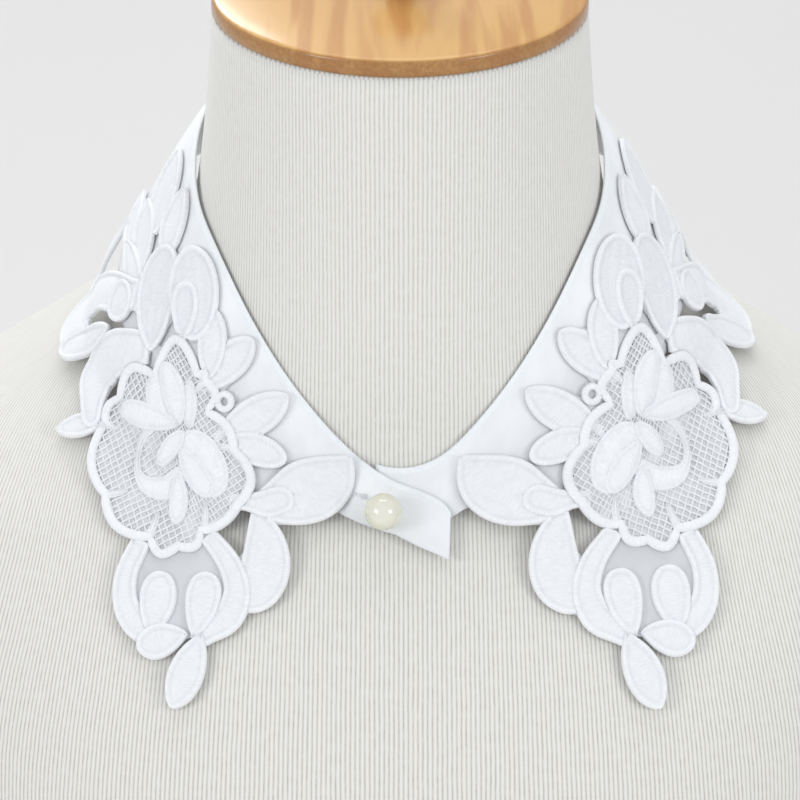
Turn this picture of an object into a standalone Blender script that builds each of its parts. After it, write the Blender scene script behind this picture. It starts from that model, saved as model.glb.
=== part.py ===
"""A lace collar with a pearl-buttoned tab, worn round the neck of a limbless dress form.

Metres, +Z up, +X to the form's left hand, -Y to its front. The form stands on the ground plane
and the origin is the middle of the box round it, at ground height. Tables are in millimetres
and degrees.
"""

import math
from collections import namedtuple

import bpy
import numpy as np
from mathutils import Vector
from mathutils.bvhtree import BVHTree
from mathutils.geometry import delaunay_2d_cdt

MM = 0.001
GAP = 0.3 * MM

# Dress form
FORM_SIDES = 48
FORM_STEPS = 2
SMOOTH_SIDES = 160
SMOOTH_STEPS = 6

# Cloth walls, measured off the surface that the collar lies on
CLOTH_CLEARANCE = 0.5 * MM
BAND_WALL = 1.0 * MM
OVER_BAND = CLOTH_CLEARANCE + BAND_WALL + 1.5 * GAP
LACE_GROUND = 1.0 * MM

# Surface that the collar lies on
AXIS_POINT = (0.0, -8.0, 640.0)
AXIS_TILT = 14.0
NET_AZIMUTH_STEP = 3.0
NET_REACH = 140.0
NET_SPACING = 2.0
TAUT_REACH = 60.0
SMOOTHING_ROUNDS = 6

Section = namedtuple("Section", "height tilt half_width front back centre squareness")
# The form's cross-sections from the hem to the top of the neck; the tilt is forward
SECTIONS = [
    Section(0, 0, 158, 104, 112, 0, 2.3),
    Section(55, 0, 165, 108, 122, 0, 2.3),
    Section(140, 0, 150, 98, 104, 0, 2.3),
    Section(245, 0, 120, 82, 80, 0, 2.2),
    Section(335, 0, 131, 104, 90, 0, 2.2),
    Section(410, 0, 145, 122, 100, 0, 2.2),
    Section(475, 0, 156, 112, 106, 0, 2.3),
    Section(528, 2, 170, 92, 102, 0, 2.4),
    Section(560, 6, 170, 72, 92, 0, 2.4),
    Section(580, 12, 142, 62, 80, 0, 2.3),
    Section(596, 18, 112, 57, 68, 0, 2.2),
    Section(611, 22, 85, 54, 60, -1, 2.1),
    Section(629, 22, 67, 54, 56, -3, 2.0),
    Section(651, 18, 61, 54, 56, -6, 2.0),
    Section(680, 14, 57.5, 55, 56, -11, 2.0),
    Section(705, 12, 55.5, 55.5, 56, -16, 2.0),
]

TurnedRing = namedtuple("TurnedRing", "radius height")
# The wooden neck cap and its knob, turned about the neck's tilted top; heights off the neck
CAP_RINGS = [
    TurnedRing(54.6, 0.3),
    TurnedRing(55.6, 1.0),
    TurnedRing(55.6, 4.6),
    TurnedRing(55.1, 5.4),
    TurnedRing(54.0, 5.8),
]
KNOB_RINGS = [
    TurnedRing(7.4, 6.1),
    TurnedRing(7.6, 7.2),
    TurnedRing(4.6, 9.2),
    TurnedRing(4.3, 11.4),
    TurnedRing(7.4, 14.6),
    TurnedRing(9.0, 18.2),
    TurnedRing(8.4, 21.6),
    TurnedRing(5.6, 23.8),
    TurnedRing(2.0, 24.6),
]

NecklinePoint = namedtuple("NecklinePoint", "azimuth height standoff")
# The collar's upper edge falls to the front and stands a little off the sides of the neck
NECKLINE = [
    NecklinePoint(0, 574.3, 0.4),
    NecklinePoint(8, 575.8, 0.4),
    NecklinePoint(15, 580.7, 0.4),
    NecklinePoint(24, 590.5, 0.5),
    NecklinePoint(39, 608.0, 0.6),
    NecklinePoint(48, 618.5, 0.7),
    NecklinePoint(57, 628.7, 0.8),
    NecklinePoint(67, 638.2, 0.9),
    NecklinePoint(80, 646.5, 1.0),
    NecklinePoint(97, 660.5, 1.2),
    NecklinePoint(114, 672.0, 1.2),
    NecklinePoint(145, 683.0, 1.2),
    NecklinePoint(180, 686.0, 1.2),
]

BowPoint = namedtuple("BowPoint", "reach rise")
# How far the collar's sides and back stand off the slope between neck and shoulder
BOW = [
    BowPoint(0, 0.0),
    BowPoint(8, 2.2),
    BowPoint(16, 3.8),
    BowPoint(26, 5.0),
    BowPoint(36, 6.0),
    BowPoint(44, 6.4),
    BowPoint(56, 4.6),
    BowPoint(70, 1.5),
    BowPoint(82, 0.0),
]
BOW_START = 42.0
BOW_FULL = 78.0
BOW_FALL = 120.0
BACK_BOW_SHARE = 0.6

BandWidth = namedtuple("BandWidth", "azimuth width")
# How far the organza band reaches below the neckline, from the centre front to the centre back
BAND_WIDTHS = [
    BandWidth(0, 19.0),
    BandWidth(14, 19.0),
    BandWidth(20, 25.0),
    BandWidth(27, 36.0),
    BandWidth(36, 41.0),
    BandWidth(60, 41.0),
    BandWidth(78, 38.0),
    BandWidth(95, 35.0),
    BandWidth(125, 35.0),
    BandWidth(180, 37.0),
]
BAND_CELLS = 6
BAND_ROW_STEP = 4.5
UNDER_END_AZIMUTH = -6.5
UNDER_END_STEP = 3.75
TAB_START_AZIMUTH = -16.0

TabRow = namedtuple("TabRow", "top_azimuth top bottom_azimuth bottom lift")
# The buttoned tab, from where it leaves the band to its cut end; lifts are off the surface
TAB_ROWS = [
    TabRow(-11.4, 0.6, -13.1, 19.4, 0.5),
    TabRow(-8.0, 1.8, -10.6, 19.5, 1.8),
    TabRow(-4.8, 3.0, -8.2, 19.5, 1.8),
    TabRow(-1.7, 4.4, -5.8, 19.6, 1.8),
    TabRow(0.7, 5.6, -3.4, 20.0, 1.8),
    TabRow(2.9, 6.8, -1.2, 20.6, 1.8),
    TabRow(5.4, 8.6, 1.2, 22.4, 1.8),
    TabRow(7.7, 10.9, 3.6, 24.6, 1.8),
    TabRow(10.0, 14.2, 7.1, 28.0, 1.8),
    TabRow(11.3, 17.7, 9.6, 31.4, 1.8),
]
# The buttonhole is the cell after this row and this column of the tab
BUTTONHOLE_ROW = 3
BUTTONHOLE_CELL = 4

# Pearl button; its shank goes through the buttonhole to the band end below
PEARL_RADIUS = 5.4
SHANK_RADIUS = 0.8
PEARL_SIDES = 16
PEARL_RINGS = 9

# Chart that each front lace is drawn on: millimetres across and up, facing out of the shoulder
CHART_ORIGIN = (75.0, -47.0, 584.0)
CHART_FACING = (0.4, -0.6, 0.69)
CHART_STANDOFF = 80.0

LacePlace = namedtuple("LacePlace", "name side wide lean across drop high up")
# Each lace on the chart: stretched wide and high, leant sideways, dropped to its outer side
LACE_PLACES = [
    LacePlace("lace_front_left", 1, 1.0, 0.0, 0.0, 0.0, 1.0, 0.0),
    LacePlace("lace_front_right", -1, 0.935, 0.03, -6.0, -0.07, 0.952, -3.9),
]

Leaf = namedtuple("Leaf", "name base_x base_y tip_x tip_y width bend belly sharpness rise")
# Satin leaves and petals in the order they are laid. The bend is the sweep of the midrib to its
# left, the belly where along it the leaf is widest; sharpness is 1 for round ends, 2 for pointed
LOW_LEAVES = [
    Leaf("long front leaf", -20.0, -24.5, -53.3, -12.0, 18.0, 5.2, 0.56, 1.95, 1.3),
    Leaf("hanging leaf", -24.0, -25.5, -16.6, -56.0, 14.5, -4.5, 0.56, 1.30, 1.2),
    Leaf("bract one", -15.5, -5.0, -40.4, 5.0, 10.6, 1.0, 0.54, 1.50, 1.1),
    Leaf("bract two", -17.0, -5.6, -35.8, -13.6, 9.4, -0.8, 0.60, 1.30, 1.1),
    Leaf("bract three", -14.5, 10.0, -34.6, 20.8, 10.0, 0.3, 0.56, 1.40, 1.1),
    Leaf("bract four", -18.0, 12.5, -24.8, 31.0, 9.2, 0.3, 0.52, 1.25, 1.0),
    Leaf("side leaf", 18.0, 10.6, 36.4, 11.2, 8.2, 0.0, 0.55, 1.60, 1.1),
    Leaf("back leaf one", -8.0, 61.0, -17.0, 90.0, 12.0, -1.2, 0.50, 1.30, 0.9),
    Leaf("back leaf two", -1.5, 50.0, -3.5, 79.0, 10.0, 0.0, 0.50, 1.40, 0.9),
    Leaf("back leaf three", 4.5, 63.0, 1.0, 88.0, 8.5, -1.0, 0.50, 1.50, 0.9),
    Leaf("back leaf four", 0.5, 36.0, 5.5, 67.0, 7.5, 1.4, 0.52, 1.40, 0.9),
    Leaf("back leaf five", 26.0, 62.0, 6.0, 77.5, 6.6, -3.0, 0.45, 1.40, 0.9),
    Leaf("back leaf six", -12.0, 50.5, -20.2, 72.5, 9.4, -1.0, 0.45, 1.35, 1.0),
]
HIGH_LEAVES = [
    Leaf("spur", 6.8, 52.0, 9.2, 38.4, 10.5, -0.6, 0.55, 1.10, 0.9),
    Leaf("hook head", 36.0, 42.0, 12.8, 38.2, 11.0, 0.0, 0.42, 1.00, 1.2),
    Leaf("standing petal", -1.5, 25.0, -12.0, 55.0, 14.8, -0.5, 0.58, 1.10, 1.0),
    Leaf("outer bud petal", -15.5, 24.0, -19.5, 51.0, 16.5, 1.8, 0.52, 1.05, 0.9),
    Leaf("bud heart", -12.5, 24.5, -17.5, 40.8, 9.0, 0.5, 0.62, 1.15, 1.3),
    Leaf("scroll eye left", -0.5, -62.0, -6.2, -42.5, 10.5, 0.8, 0.62, 1.10, 1.3),
    Leaf("scroll eye right", 12.5, -59.0, 7.8, -40.5, 11.0, 1.2, 0.58, 1.05, 1.3),
    Leaf("short tail leaf", 1.0, -61.0, 16.5, -63.6, 10.0, 0.8, 0.60, 1.30, 1.2),
    Leaf("long tail leaf", -3.0, -61.5, 9.6, -80.6, 10.5, -0.5, 0.55, 1.40, 1.3),
    Leaf("ring picot", -23.8, 8.0, -19.6, 2.6, 6.3, 0.0, 0.50, 1.00, 0.8),
]
HEART_PETALS = [
    Leaf("heart petal one", -7.0, -0.5, -13.2, -20.8, 13.0, -1.6, 0.54, 0.95, 1.4),
    Leaf("heart petal two", -5.0, -4.5, -12.4, -20.2, 7.6, 0.4, 0.58, 1.05, 1.6),
    Leaf("heart petal three", -9.2, 0.2, -12.6, 13.6, 5.2, -0.4, 0.50, 1.20, 1.3),
    Leaf("heart petal four", -3.0, 3.5, -3.2, 19.6, 7.4, -2.6, 0.52, 1.10, 1.2),
    Leaf("heart petal five", -6.0, 2.0, -5.0, 20.6, 7.6, 1.0, 0.52, 1.15, 1.5),
    Leaf("heart petal six", -6.0, 2.2, 12.0, 12.8, 7.6, -0.6, 0.66, 0.90, 1.6),
    Leaf("heart petal seven", -2.6, -11.6, 1.4, -26.8, 6.4, -0.6, 0.50, 1.10, 1.5),
    Leaf("heart petal eight", -7.6, -0.2, 3.0, -7.8, 6.0, 0.6, 0.50, 1.20, 1.6),
]

ScrollPoint = namedtuple("ScrollPoint", "x y width")
# Satin scrolls as a line with its width along it
SHOULDER_SCROLL = [
    ScrollPoint(0.5, 43.5, 9.0),
    ScrollPoint(6.5, 46.5, 12.0),
    ScrollPoint(14.5, 53.2, 13.0),
    ScrollPoint(22.8, 55.6, 15.8),
    ScrollPoint(29.0, 51.3, 15.2),
    ScrollPoint(29.6, 43.5, 13.0),
]
SHOULDER_SWEEP = [
    ScrollPoint(-1.0, 26.0, 9.0),
    ScrollPoint(7.0, 28.4, 13.0),
    ScrollPoint(14.0, 29.0, 16.0),
    ScrollPoint(20.0, 25.0, 14.5),
    ScrollPoint(22.6, 18.5, 9.5),
    ScrollPoint(23.6, 12.5, 7.0),
]
LEAF_STALK = [
    ScrollPoint(-17.0, -22.8, 4.6),
    ScrollPoint(-22.0, -23.8, 5.0),
    ScrollPoint(-27.5, -25.0, 8.0),
    ScrollPoint(-32.0, -24.4, 8.0),
]
SCROLL_LEFT = [
    ScrollPoint(-8.5, -31.0, 6.0),
    ScrollPoint(-13.6, -40.5, 7.4),
    ScrollPoint(-14.8, -49.5, 8.0),
    ScrollPoint(-11.2, -57.2, 9.0),
    ScrollPoint(-3.5, -61.2, 7.5),
]
SCROLL_RIGHT = [
    ScrollPoint(11.5, -30.0, 6.0),
    ScrollPoint(17.2, -39.5, 6.8),
    ScrollPoint(18.6, -48.5, 7.6),
    ScrollPoint(16.0, -55.5, 8.6),
    ScrollPoint(10.5, -60.2, 7.5),
]
SCROLL_RISE = 1.2
HEART_SWEEP = [
    ScrollPoint(3.0, 4.2, 3.4),
    ScrollPoint(7.4, 1.2, 2.2),
    ScrollPoint(10.2, -4.2, 1.8),
    ScrollPoint(10.4, -9.4, 2.8),
    ScrollPoint(7.6, -13.4, 6.4),
    ScrollPoint(2.5, -14.6, 7.6),
    ScrollPoint(-3.0, -12.0, 5.5),
]
HEART_SWEEP_RISE = 1.5

Scallop = namedtuple("Scallop", "angle reach bulge")
# The rose's corded edge: each row is the notch that a scallop starts from, seen from the centre
ROSE_CENTRE = (-0.5, -4.0)
ROSE_SCALLOPS = [
    Scallop(34.2, 25.1, 2.6),
    Scallop(57.3, 25.2, 5.6),
    Scallop(91.4, 23.2, 10.0),
    Scallop(129.0, 25.0, 1.4),
    Scallop(137.0, 24.6, 2.8),
    Scallop(155.0, 18.6, 2.4),
    Scallop(191.2, 22.8, 4.6),
    Scallop(226.3, 29.1, 2.0),
    Scallop(255.6, 27.6, 2.9),
    Scallop(272.7, 31.0, 4.0),
    Scallop(291.2, 28.8, 4.7),
    Scallop(335.4, 25.5, 4.9),
]
SCALLOP_POINTS = 5
ROSE_CORD_WIDTH = 2.6
ROSE_CORD_RISE = 0.9

SheerPoint = namedtuple("SheerPoint", "x y")
# Sheer ground left between the two lower scrolls
SHEER_OUTLINE = [
    SheerPoint(-8, -33),
    SheerPoint(13, -31),
    SheerPoint(17, -44),
    SheerPoint(12, -58),
    SheerPoint(2, -63),
    SheerPoint(-9, -58),
    SheerPoint(-13, -44),
]

# Drawing of the lace
LEAF_SIDE_POINTS = 6
SCROLL_STEP = 3.2
EDGE_SHARE = 0.2
CROWN_SHARE = 0.25
INSET = 1.2
RING_KEEP = 0.75
CROSSING_MARGIN = 0.45
GROUND_SPACING = 4.5
INSIDE_SPACING = 8.0
SMALLEST_HOLE = 3.2
WELD = 0.06

Finish = namedtuple("Finish", "colour roughness metallic")
FINISHES = {
    "dress_form": Finish((0.77, 0.76, 0.72), 0.9, 0.0),
    "neck_cap": Finish((0.80, 0.52, 0.26), 0.3, 0.0),
    "neck_knob": Finish((0.80, 0.52, 0.26), 0.3, 0.0),
    "collar_band": Finish((0.90, 0.91, 0.93), 0.6, 0.0),
    "lace_front_left": Finish((0.92, 0.93, 0.95), 0.7, 0.0),
    "lace_front_right": Finish((0.92, 0.93, 0.95), 0.7, 0.0),
    "pearl_button": Finish((0.92, 0.89, 0.76), 0.15, 0.0),
}


def smooth_rows(rows, steps):
    """The table's rows with steps - 1 rows between each two, on curves that never overshoot."""
    table = np.array(rows, float)
    slopes = np.diff(table, axis=0)
    ends = np.zeros_like(table)
    ends[0], ends[-1] = slopes[0], slopes[-1]
    before, after = slopes[:-1], slopes[1:]
    same_way = before * after > 0
    total = np.where(same_way, before + after, 1.0)
    ends[1:-1] = np.where(same_way, 2 * before * after / total, 0.0)
    found = []
    for i, start in enumerate(table[:-1]):
        for k in range(steps):
            t = k / steps
            found.append(
                start * (2 * t**3 - 3 * t**2 + 1)
                + table[i + 1] * (3 * t**2 - 2 * t**3)
                + ends[i] * (t**3 - 2 * t**2 + t)
                + ends[i + 1] * (t**3 - t**2)
            )
    found.append(table[-1])
    return np.array(found)


def section_ring(row, sides):
    """The points of one cross-section, in metres, from the front round by the form's left."""
    height, tilt, half_width, front, back, centre, squareness = row
    angle = np.linspace(0, 2 * math.pi, sides, endpoint=False)
    across, along = np.sin(angle), np.cos(angle)
    x = half_width * np.sign(across) * np.abs(across) ** (2 / squareness)
    depth = np.where(along > 0, front, back)
    y = -depth * np.sign(along) * np.abs(along) ** (2 / squareness)
    z = height + math.tan(math.radians(tilt)) * y
    return np.stack([x, y + centre, z], axis=1) * MM


def form_grid(sides, steps):
    """The dress form's skin as rings of points, bottom to top."""
    return np.array([section_ring(row, sides) for row in smooth_rows(SECTIONS, steps)])


def ring_faces(rings, sides):
    """The quads between stacked rings of points."""
    faces = []
    for i in range(rings - 1):
        for j in range(sides):
            k = (j + 1) % sides
            faces.append((i * sides + j, i * sides + k, (i + 1) * sides + k, (i + 1) * sides + j))
    return faces


class CollarNet:
    """The surface that the collar lies on, as points by azimuth and by reach from the neckline.

    Round the neck it is a tape held taut over the hollow between neck and shoulder.
    """

    def __init__(self):
        tilt = math.radians(AXIS_TILT)
        self.axis = np.array([0.0, -math.sin(tilt), math.cos(tilt)])
        self.front = np.array([0.0, -math.cos(tilt), -math.sin(tilt)])
        self.side = np.array([1.0, 0.0, 0.0])
        self.base = np.array(AXIS_POINT) * MM
        grid = form_grid(SMOOTH_SIDES, SMOOTH_STEPS)
        faces = ring_faces(len(grid), SMOOTH_SIDES)
        self.form = BVHTree.FromPolygons([Vector(p) for p in grid.reshape(-1, 3)], faces)
        self.azimuths = np.arange(0, 360, NET_AZIMUTH_STEP)
        self.reaches = np.arange(0, NET_REACH + NET_SPACING / 2, NET_SPACING) * MM
        table = smooth_rows(NECKLINE, 8)
        folded = np.minimum(self.azimuths, 360 - self.azimuths)
        heights = np.interp(folded, table[:, 0], table[:, 1]) * MM
        standoffs = np.interp(folded, table[:, 0], table[:, 2]) * MM
        rows = [self.taut_row(*each) for each in zip(self.azimuths, heights, standoffs)]
        self.points = self.smoothed(np.array(rows))
        self.points = self.points + self.net_normals() * self.bow(folded)
        self.normals = self.net_normals()
        self.tree = self.net_tree()

    def profile(self, out):
        """The form's profile (radius, rise along the axis) in one half plane, top to bottom."""
        found = []
        for rise in np.arange(0.075, -0.18, -0.0015):
            start = Vector(self.base + self.axis * rise)
            hit = self.form.ray_cast(start, Vector(out))[0]
            if hit is not None:
                found.append(((hit - start).length, rise))
        return np.array(found)

    def taut_row(self, azimuth, height, standoff):
        """Points along a tape laid outward from the neckline over the form."""
        angle = math.radians(azimuth)
        out = self.front * math.cos(angle) + self.side * math.sin(angle)
        profile = self.profile(out)
        heights = (self.base + profile[:, :1] * out + profile[:, 1:] * self.axis)[:, 2]
        first = np.interp(-height, -heights, np.arange(len(heights)))
        start = np.array([np.interp(first, np.arange(len(profile)), profile[:, k]) for k in (0, 1)])
        start[0] += standoff
        chain = [start]
        travelled = 0.0
        for i in range(int(math.ceil(first)), len(profile)):
            travelled += np.linalg.norm(profile[i] - profile[i - 1])
            taut = travelled < TAUT_REACH * MM
            while taut and len(chain) > 1 and self.dips(*chain[-2:], profile[i]):
                chain.pop()
            chain.append(profile[i])
        chain = np.array(chain)
        steps = np.linalg.norm(np.diff(chain, axis=0), axis=1)
        lengths = np.concatenate([[0], np.cumsum(steps)])
        radius = np.interp(self.reaches, lengths, chain[:, 0])
        rise = np.interp(self.reaches, lengths, chain[:, 1])
        return self.base + radius[:, None] * out + rise[:, None] * self.axis

    @staticmethod
    def dips(a, b, c):
        """Whether the tape through a, b and c would hang below the straight line at b."""
        return (b[0] - a[0]) * (c[1] - a[1]) - (b[1] - a[1]) * (c[0] - a[0]) > 0

    def smoothed(self, points):
        """The net with its folds evened out, and never inside the form."""
        for _ in range(SMOOTHING_ROUNDS):
            around = (np.roll(points, 1, axis=0) + np.roll(points, -1, axis=0) + 2 * points) / 4
            points = around.copy()
            points[:, 1:-1] = (around[:, :-2] + around[:, 2:] + 2 * around[:, 1:-1]) / 4
        flat = points.reshape(-1, 3)
        for i, point in enumerate(flat):
            near, normal = self.form.find_nearest(Vector(point))[:2]
            if (Vector(point) - near).dot(normal) < 0:
                flat[i] = near
        return flat.reshape(points.shape)

    def bow(self, folded):
        """How far each point stands off the taut surface, given azimuths from the front."""
        table = smooth_rows(BOW, 6)
        rise = np.interp(self.reaches, table[:, 0] * MM, table[:, 1] * MM)
        grown = np.clip((folded - BOW_START) / (BOW_FULL - BOW_START), 0, 1)
        fallen = np.clip((folded - BOW_FALL) / (180 - BOW_FALL), 0, 1)
        share = grown**2 * (3 - 2 * grown)
        share *= 1 - (1 - BACK_BOW_SHARE) * fallen**2 * (3 - 2 * fallen)
        return np.outer(share, rise)[..., None]

    def net_normals(self):
        """A unit normal pointing off the form at each point of the net."""
        around = np.roll(self.points, -1, axis=0) - np.roll(self.points, 1, axis=0)
        along = np.gradient(self.points, axis=1)
        normals = np.cross(along, around)
        return normals / np.linalg.norm(normals, axis=2, keepdims=True)

    def net_tree(self):
        """A search tree of the net's quads, numbered by azimuth and then by reach."""
        count, reaches = self.points.shape[:2]
        faces = []
        for i in range(count):
            k = (i + 1) % count
            for j in range(reaches - 1):
                faces.append((i * reaches + j, k * reaches + j, k * reaches + j + 1, i * reaches + j + 1))
        return BVHTree.FromPolygons([Vector(p) for p in self.points.reshape(-1, 3)], faces)

    def blend(self, values, i, j, s, t):
        """The net's values between the four corners of a cell, s round and t outward."""
        k = (i + 1) % len(self.azimuths)
        near = values[i, j] * (1 - s) + values[k, j] * s
        far = values[i, j + 1] * (1 - s) + values[k, j + 1] * s
        return near * (1 - t) + far * t

    def at(self, azimuth, reach, lift):
        """The point at an azimuth and a reach (mm), lifted off the surface by lift (metres)."""
        turn = (azimuth % 360) / NET_AZIMUTH_STEP
        out = reach / NET_SPACING
        i = int(turn) % len(self.azimuths)
        j = min(int(out), len(self.reaches) - 2)
        cell = (i, j, turn - int(turn), out - j)
        normal = self.blend(self.normals, *cell)
        return self.blend(self.points, *cell) + normal / np.linalg.norm(normal) * lift

    def under(self, start, direction):
        """Where a ray meets the surface, and the normal there."""
        hit, _, face, _ = self.tree.ray_cast(Vector(start), Vector(direction))
        i, j = divmod(face, len(self.reaches) - 1)
        corner = self.points[i, j]
        round_side = self.points[(i + 1) % len(self.azimuths), j] - corner
        out_side = self.points[i, j + 1] - corner
        offset = np.array(hit) - corner
        s = min(max(offset @ round_side / (round_side @ round_side), 0.0), 1.0)
        t = min(max(offset @ out_side / (out_side @ out_side), 0.0), 1.0)
        normal = self.blend(self.normals, i, j, s, t)
        return np.array(hit), normal / np.linalg.norm(normal)


def add_object(name, points, faces):
    """One named object with its own material."""
    mesh = bpy.data.meshes.new(name)
    mesh.from_pydata([tuple(p) for p in points], [], faces)
    mesh.update()
    finish = FINISHES[name]
    material = bpy.data.materials.new(name)
    material.use_nodes = True
    shader = material.node_tree.nodes["Principled BSDF"]
    shader.inputs["Base Color"].default_value = (*finish.colour, 1.0)
    shader.inputs["Roughness"].default_value = finish.roughness
    shader.inputs["Metallic"].default_value = finish.metallic
    mesh.materials.append(material)
    mesh.shade_smooth()
    mesh.set_sharp_from_angle(angle=math.radians(40))
    made = bpy.data.objects.new(name, mesh)
    bpy.context.scene.collection.objects.link(made)
    return made


def add_stack(name, grid):
    """A closed solid through stacked rings, with a flat face at each end."""
    rings, sides = grid.shape[:2]
    faces = ring_faces(rings, sides)
    faces.append(tuple(range(sides - 1, -1, -1)))
    faces.append(tuple(range((rings - 1) * sides, rings * sides)))
    return add_object(name, grid.reshape(-1, 3), faces)


def turned(profile, sides, centre, axis, across):
    """Rings of points turned about an axis from (radius, height) rows in metres."""
    other = np.cross(axis, across)
    angle = np.linspace(0, 2 * math.pi, sides, endpoint=False)
    spokes = np.cos(angle)[:, None] * across + np.sin(angle)[:, None] * other
    return np.array([centre + axis * height + spokes * radius for radius, height in profile])


def add_form():
    """The torso and neck, one smooth solid with a flat hem and a flat tilted top."""
    return add_stack("dress_form", form_grid(FORM_SIDES, FORM_STEPS))


def add_cap_and_knob():
    """The turned wooden cap on the neck's tilted top, and the knob at its middle."""
    top = SECTIONS[-1]
    tilt = math.radians(top.tilt)
    axis = np.array([0.0, -math.sin(tilt), math.cos(tilt)])
    across = np.array([1.0, 0.0, 0.0])
    centre = np.array([0.0, top.centre, top.height]) * MM
    for name, rings, sides in (("neck_cap", CAP_RINGS, 48), ("neck_knob", KNOB_RINGS, 20)):
        add_stack(name, turned(np.array(rings) * MM, sides, centre, axis, across))


def directed_edges(faces):
    """Every edge of the faces in the direction that its face runs it."""
    return {(face[k], face[(k + 1) % len(face)]) for face in faces for k in range(len(face))}


def border_of(faces):
    """The directed edges that only one face has."""
    edges = directed_edges(faces)
    return sorted(edge for edge in edges if (edge[1], edge[0]) not in edges)


def add_wall(name, outer, inner, outer_faces, inner_faces, partner, mirrored):
    """A closed cloth wall between an outer skin and an inner skin.

    Partner gives, for each outer point on the border, its inner point.
    """
    shift = len(outer)
    faces = list(outer_faces)
    faces += [tuple(shift + v for v in reversed(face)) for face in inner_faces]
    for a, b in border_of(outer_faces):
        faces.append((b, a, shift + partner[a], shift + partner[b]))
    points = np.concatenate([outer, inner])
    if mirrored:
        points = points * np.array([-1.0, 1.0, 1.0])
        faces = [tuple(reversed(face)) for face in faces]
    return add_object(name, points, faces)


def band_rows():
    """The band's rows round the neck, from the end under the tab to the tab's own end."""
    widths = smooth_rows(BAND_WIDTHS, 4)
    near = np.arange(UNDER_END_AZIMUTH, 15, UNDER_END_STEP)
    last = 360 + TAB_START_AZIMUTH
    count = int(round((last - 15.5) / BAND_ROW_STEP))
    azimuths = np.concatenate([near, np.linspace(15.5 + BAND_ROW_STEP, last, count)])
    rows = []
    for azimuth in azimuths:
        folded = min(abs(azimuth), 360 - azimuth)
        width = np.interp(folded, widths[:, 0], widths[:, 1])
        rows.append(TabRow(azimuth, 0.0, azimuth, width, CLOTH_CLEARANCE / MM))
    tab = [row._replace(top_azimuth=row.top_azimuth + 360, bottom_azimuth=row.bottom_azimuth + 360)
           for row in TAB_ROWS]
    return rows, tab


def add_band(net):
    """The organza band: one ribbon round the neck whose right end is the buttoned tab."""
    plain, tab = band_rows()
    rows = plain + tab
    columns = BAND_CELLS + 1
    skins = {0.0: [], BAND_WALL: []}
    for row in rows:
        for c in range(columns):
            share = c / BAND_CELLS
            azimuth = row.top_azimuth + (row.bottom_azimuth - row.top_azimuth) * share
            reach = row.top + (row.bottom - row.top) * share
            for wall, skin in skins.items():
                skin.append(net.at(azimuth, reach, row.lift * MM + wall))
    hole = (len(plain) + BUTTONHOLE_ROW, BUTTONHOLE_CELL)
    faces = []
    for r in range(len(rows) - 1):
        for c in range(BAND_CELLS):
            if (r, c) != hole:
                a = r * columns + c
                faces.append((a, a + 1, a + columns + 1, a + columns))
    same = {k: k for k in range(len(rows) * columns)}
    outer, inner = np.array(skins[BAND_WALL]), np.array(skins[0.0])
    return add_wall("collar_band", outer, inner, faces, faces, same, False)


def pearl_place(net):
    """The middle of the buttonhole on the surface, and the direction out of it."""
    first, second = TAB_ROWS[BUTTONHOLE_ROW], TAB_ROWS[BUTTONHOLE_ROW + 1]
    share = (BUTTONHOLE_CELL + 0.5) / BAND_CELLS
    azimuth = reach = 0.0
    for row in (first, second):
        azimuth += (row.top_azimuth + (row.bottom_azimuth - row.top_azimuth) * share) / 2
        reach += (row.top + (row.bottom - row.top) * share) / 2
    foot = net.at(azimuth, reach, 0.0)
    out = net.at(azimuth, reach, 1.0) - foot
    return foot, out / np.linalg.norm(out)


def add_pearl(net):
    """The pearl and its short shank, turned as one solid."""
    foot, out = pearl_place(net)
    shank_start = OVER_BAND
    ball_start = OVER_BAND + BAND_WALL + GAP
    middle = ball_start + PEARL_RADIUS * MM
    join = math.asin(SHANK_RADIUS / PEARL_RADIUS)
    profile = [(SHANK_RADIUS * MM, shank_start)]
    for angle in np.linspace(join, math.pi - join, PEARL_RINGS):
        ring = (math.sin(angle) * PEARL_RADIUS * MM, middle - math.cos(angle) * PEARL_RADIUS * MM)
        profile.append(ring)
    across = np.cross(out, (0.0, 0.0, 1.0))
    across = across / np.linalg.norm(across)
    return add_stack("pearl_button", turned(profile, PEARL_SIDES, foot, out, across))


def inside(points, outline):
    """Whether each point lies within a closed outline."""
    x, y = points[:, :1], points[:, 1:]
    x0, y0 = outline[:, 0], outline[:, 1]
    x1, y1 = np.roll(x0, -1), np.roll(y0, -1)
    crosses = (y0 > y) != (y1 > y)
    rise = np.where(y1 == y0, 1.0, y1 - y0)
    return (crosses & (x < x0 + (y - y0) * (x1 - x0) / rise)).sum(axis=1) % 2 == 1


def distance(points, outline):
    """How far each point lies from a closed outline."""
    edge = np.roll(outline, -1, axis=0) - outline
    offset = points[:, None] - outline
    length = np.maximum((edge**2).sum(axis=1), 1e-12)
    along = np.clip((offset * edge).sum(axis=2) / length, 0, 1)
    return np.linalg.norm(offset - along[..., None] * edge, axis=2).min(axis=1)


def inset_ring(outline, inset):
    """The outline's points moved inward, without those that tips would crowd together."""
    tangent = np.roll(outline, -1, axis=0) - np.roll(outline, 1, axis=0)
    tangent = tangent / np.linalg.norm(tangent, axis=1, keepdims=True)
    inward = np.stack([-tangent[:, 1], tangent[:, 0]], axis=1)
    moved = outline + inward * inset
    keep = inside(moved, outline) & (distance(moved, outline) > inset * RING_KEEP)
    return moved[keep]


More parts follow.
